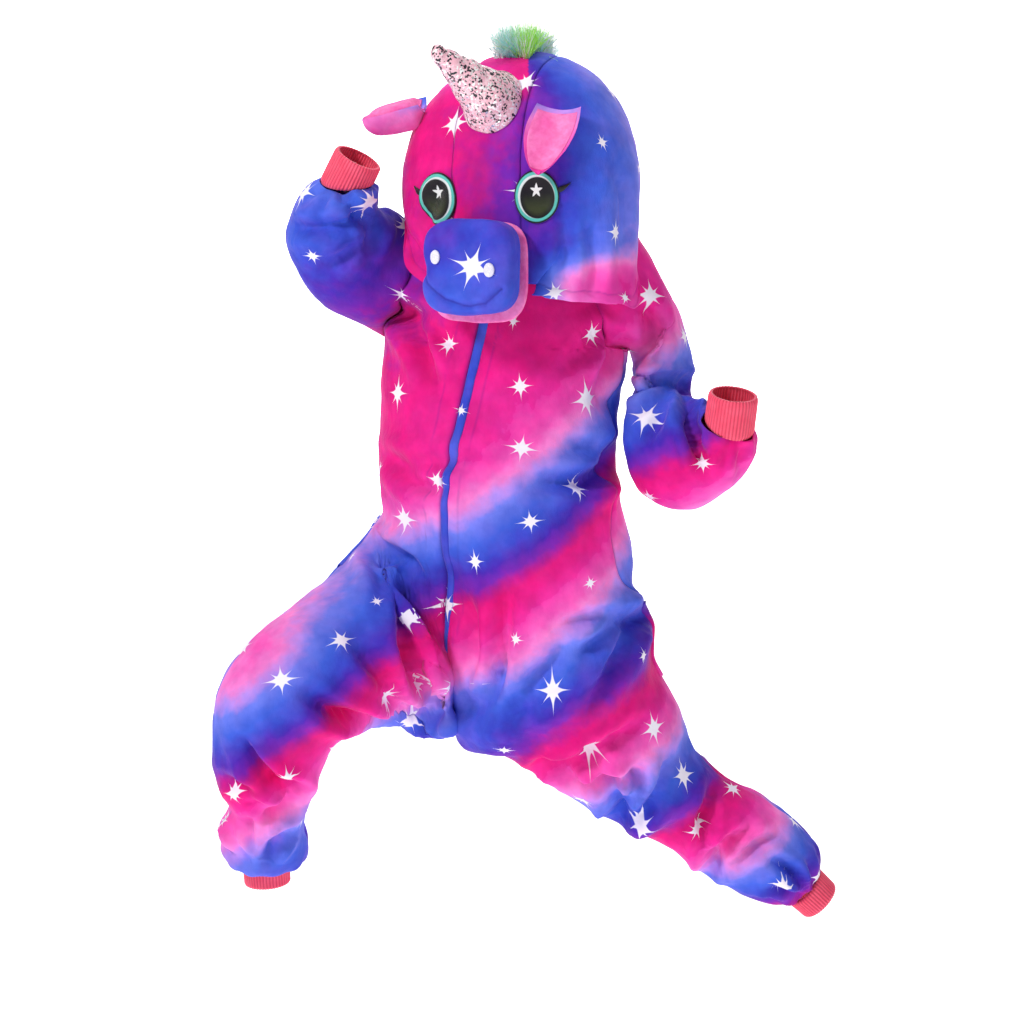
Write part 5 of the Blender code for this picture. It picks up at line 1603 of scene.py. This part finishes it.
def make_ear(half, share, low, high, node, name, material):
    rows, columns = 60, 48
    along = even(0, 0.992, rows)[:, None]
    across = np.sin(even(-np.pi / 2, np.pi / 2, columns))[None, :]
    along, across = np.broadcast_arrays(along, across)
    fullness = np.sqrt(np.maximum(0, 1 - across**2)) * np.sqrt(np.maximum(0.02, 1 - along**6))
    fullness = (high - low) * fullness * smooth_step(along, -0.06, 0.14)
    swells_up = abs(high) > abs(low)
    place = 0.5 + (along - 0.5) * share
    top = ear_points(half, place, across * share, low + fullness if swells_up else np.full(along.shape, high))
    bottom = ear_points(half, place, across * share, np.full(along.shape, low) if swells_up else high - fullness)
    loop = np.concatenate([top, bottom[:, -2:0:-1]], axis=1)
    count = loop.shape[1]
    faces = [tuple(f) for f in grid_faces(rows + 1, count, True).tolist()]
    faces.append(tuple(range(count - 1, -1, -1)))
    faces.append(tuple(rows * count + k for k in range(count)))
    puffs = unevenness(loop, 0.02, 0.0012, 16)
    loop = loop - unit(loop - loop.mean(axis=1, keepdims=True)) * puffs[..., None]
    piece = make_mesh(name, loop.reshape(-1, 3), np.array(faces[:-2]), material)
    mesh = piece.data
    points = [tuple(v.co) for v in mesh.vertices]
    mesh.clear_geometry()
    mesh.from_pydata(points, [], faces)
    mesh.shade_smooth()
    face_out(piece, loop.mean(axis=(0, 1)))
    phase = np.interp(loop[..., 2], [0.06, 0.13, 0.17], [0.02, 0.20, 0.55])
    set_values(piece, "phase", phase)
    set_values(piece, "stitch_and_shadow", np.zeros(phase.shape))
    if material == PRINTED:
        layer = mesh.uv_layers.new(name="motif")
        layer.data.foreach_set("uv", np.full(len(mesh.loops) * 2, 5.0, dtype=np.float32))
    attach(piece, "root")
    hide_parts(node)


STRANDS = 3400
STRAND_RINGS = 6


def make_mane():
    """A tuft of fur along the hood's midline, strand by strand, highest and most spread at the crown."""
    rng = np.random.default_rng(11)
    place = MANE_START - 0.15 + (MANE_END - MANE_START + 0.3) * rng.random(STRANDS) ** 1.15
    share = rng.uniform(-1, 1, STRANDS) * MANE_SHARE
    down = np.abs(share) * hood_seam(place)
    base = np.zeros((STRANDS, 3))
    way = np.zeros((STRANDS, 3))
    for half in (LEFT, RIGHT):
        mine = (share >= 0) if half == LEFT else (share < 0)
        normal = hood_normals(half, down[mine], place[mine])
        base[mine] = dressed_hood(hood_points(half, down[mine], place[mine]), normal)
        way[mine] = normal
    along = (place - MANE_START) / (MANE_END - MANE_START)
    reach = MANE_HEIGHT * (0.62 + 0.45 * rng.random(STRANDS)) * np.interp(along, [0, 0.25, 1], [1.12, 1.0, 0.8])
    clump = np.array([noise.noise_vector(Vector(p) * 45.0) for p in base])
    lean = unit(way + 0.55 * clump + 0.30 * rng.normal(size=(STRANDS, 3)) + np.array([0.0, -0.10, 0.10]))
    curl = 0.55 * clump[:, [1, 2, 0]] + 0.28 * rng.normal(size=(STRANDS, 3)) + np.array([0.0, -0.2, -0.35])
    rings = []
    for k in range(STRAND_RINGS):
        t = k / (STRAND_RINGS - 1)
        spot = base + lean * (reach * t)[:, None] + curl * (reach * 0.42 * t * t)[:, None]
        rings.append(spot)
    rings = np.array(rings)
    points = []
    faces = []
    side = unit(np.cross(lean, rng.normal(size=(STRANDS, 3))))
    other = np.cross(lean, side)
    sides = 3
    for k in range(STRAND_RINGS):
        width = 0.00055 * (1 - 0.85 * k / (STRAND_RINGS - 1))
        for j in range(sides):
            a = 2 * math.pi * j / sides
            points.append(rings[k] + (side * math.cos(a) + other * math.sin(a)) * width)
    points = np.array(points).reshape(STRAND_RINGS, sides, STRANDS, 3).transpose(2, 0, 1, 3)
    per = STRAND_RINGS * sides
    pattern = []
    for k in range(STRAND_RINGS - 1):
        for j in range(sides):
            n = (j + 1) % sides
            pattern.append((k * sides + j, k * sides + n, (k + 1) * sides + n, (k + 1) * sides + j))
    pattern = np.array(pattern)
    faces = (pattern[None] + (np.arange(STRANDS) * per)[:, None, None]).reshape(-1, 4)
    piece = make_mesh("mane_strands", points.reshape(-1, 3), faces, FUR)
    lime = np.exp(-(((base[:, 0] - LIME_AT) / 0.010) ** 2)) * (place < MANE_START + 0.9)
    tone = np.clip(0.55 + 0.9 * clump[:, 0] + 0.14 * rng.normal(size=STRANDS), 0.02, 0.86)
    tone = np.where(rng.random(STRANDS) < lime * 0.95, 1.0, tone)
    dark = (base[:, 0] > LIME_AT + 0.022) & (rng.random(STRANDS) < 0.45)
    tone = np.where(dark, 0.08, tone)
    set_values(piece, "tone", np.repeat(tone, per))
    # Painted shade at the roots, fading out along each strand.
    root_shade = np.linspace(1, 0, STRAND_RINGS) ** 2
    set_values(piece, "root", np.tile(np.repeat(root_shade, sides), STRANDS))
    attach(piece, "root")
    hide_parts("mane")


LIME_AT = 0.022

# --- Putting it together -----------------------------------------------------------------------------------


def make_body():
    panels = {}
    for half in (LEFT, RIGHT):
        for front in (True, False):
            panels[half, front] = make_panel(half, front)
    _, grid, normals, places = panels[LEFT, True]
    rows = [k for k in range(len(places)) if 0.02 < places[k] < CROTCH_ROW - 0.15]
    add_strip("zip_placket_cloth", "zip_placket", grid, normals, rows, True, -0.0005, 0.0125, 0.0006, 0.0022, PRINTED,
              0.42)
    rows = [k for k in range(len(places)) if 0.02 < places[k] < CROTCH_ROW - 0.9]
    add_strip("zip_tape_weave", "zip_tape", grid, normals, rows, True, 0.0, 0.010, -0.0045, 0.0002, TAPE,
              0.0)
    for half in (LEFT, RIGHT):
        _, grid, normals, places = panels[half, True]
        rows = [k for k in range(len(places)) if POCKET_TOP[half] < places[k] < POCKET_BOTTOM[half]]
        add_strip(f"pocket_{WORDS[half]}_lip", f"pocket_{WORDS[half]}", grid, normals, rows, False, 0.001, 0.013,
                  0.0006, 0.0026, PRINTED, 0.12)


def make_sleeves_and_cuffs():
    for half in (LEFT, RIGHT):
        rings = make_sleeve(half)
        ring = resampled(rings[-1], CUFF_SIDES)
        make_cuff(f"cuff_wrist_{WORDS[half]}", ring, WRIST_CUFFS[half])
        around = np.linspace(-1, 1, CUFF_SIDES, endpoint=False)
        ring = tube_points(half, around, np.full(CUFF_SIDES, float(LAST_ROW)))
        make_cuff(f"cuff_ankle_{WORDS[half]}", ring, ANKLE_CUFFS[half])


def make_hood():
    for half in (LEFT, RIGHT):
        make_hood_side(half)
        make_eye(half)
        make_lash(half)
        make_nostril(half)
        word = WORDS[half]
        loft = EAR_LOFTS[half]
        make_ear(half, 1.0, -loft[0], 0.0010, f"ear_{word}_outer", f"ear_{word}_back", PRINTED)
        make_ear(half, 0.86, 0.0012, loft[1], f"ear_{word}_inner", f"ear_{word}_front", PINK)
    make_gusset()
    make_cushion("muzzle_stuffed", "muzzle", MUZZLE_MIDDLE, MUZZLE_HALVES, MUZZLE_SQUARENESS, PRINTED, True)
    make_cushion("muzzle_rim_pad", "muzzle_rim", RIM_MIDDLE, RIM_HALVES, MUZZLE_SQUARENESS, PINK, False)
    make_horn()
    make_mane()


def make_slider():
    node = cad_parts["zip_slider"]
    node.data.materials.clear()
    node.data.materials.append(ENAMEL)


def add_light(name, place, target, size, power, color):
    light = bpy.data.lights.new(name, "AREA")
    light.shape = "RECTANGLE"
    light.size = size[0]
    light.size_y = size[1]
    light.energy = power
    light.color = color
    holder = bpy.data.objects.new(name, light)
    holder.location = place
    holder.rotation_euler = (Vector(target) - Vector(place)).to_track_quat("-Z", "Y").to_euler()
    bpy.context.scene.collection.objects.link(holder)


FLOOR_HEIGHT = -1.02
CAMERA_PLACE = (0.0, -3.131, -0.103)
CAMERA_TARGET = (0.0, 0.0, -0.377)


WORLD_STRENGTH = 0.12
WALL_PLACE = (0.0, 5.0, 2.0)
FLOOR_GLOW = 0.62
FLOOR_WIDTH = 18.0
WALL_WIDTH = 8.0
WALL_GLOW = 1.45


def glowing_paper(name, glow):
    n = Nodes(name, 0.9)
    n.color(n.mix(n.span(n.cloud(0.8, 2.0), 0.3, 0.7), "F4F4F6", "F8F8F9"))
    n.shader.inputs["Emission Color"].default_value = (1.0, 1.0, 1.0, 1.0)
    n.shader.inputs["Emission Strength"].default_value = glow
    return n.material


def add_paper(name, place, tilt, width, glow):
    bpy.ops.mesh.primitive_plane_add(size=width, location=place, rotation=(tilt, 0, 0))
    paper = bpy.context.object
    paper.name = name
    paper.data.materials.append(glowing_paper(name, glow))


def make_studio():
    add_paper("floor", (0, 0, FLOOR_HEIGHT), 0.0, FLOOR_WIDTH, FLOOR_GLOW)
    add_paper("backdrop", WALL_PLACE, math.pi / 2, WALL_WIDTH, WALL_GLOW)
    bpy.context.scene.view_settings.view_transform = "Standard"
    world = bpy.data.worlds.new("studio")
    bpy.context.scene.world = world
    world.use_nodes = True
    world.node_tree.nodes["Background"].inputs[0].default_value = (1.0, 1.0, 1.0, 1.0)
    world.node_tree.nodes["Background"].inputs[1].default_value = WORLD_STRENGTH
    middle = (0, 0, -0.35)
    add_light("key", (-2.1, -2.1, 1.6), middle, (0.6, 0.6), 66, (1.0, 0.99, 0.97))
    add_light("fill", (2.4, -2.2, 0.6), middle, (1.6, 1.6), 11, (0.97, 0.98, 1.0))
    add_light("back", (0.6, 2.4, 1.6), middle, (2.0, 1.2), 8, (1.0, 1.0, 1.0))
    add_light("top", (0.2, -0.3, 2.6), (0, 0, 0), (2.6, 2.6), 42, (1.0, 1.0, 1.0))
    camera = bpy.data.cameras.new("camera")
    camera.lens = 85
    camera.sensor_width = 36
    holder = bpy.data.objects.new("camera", camera)
    holder.location = CAMERA_PLACE
    aim = Vector(CAMERA_TARGET) - Vector(CAMERA_PLACE)
    holder.rotation_euler = aim.to_track_quat("-Z", "Y").to_euler()
    bpy.context.scene.collection.objects.link(holder)
    bpy.context.scene.camera = holder


make_body()
make_sleeves_and_cuffs()
make_hood()
make_slider()
gather_stars(fleece_pieces, next(p for p in fleece_pieces if p["piece"].name == "muzzle_stuffed"))
for entry in fleece_pieces:
    if entry["piece"].data.uv_layers.get("motif") is None:
        map_stars(entry["piece"])
make_studio()
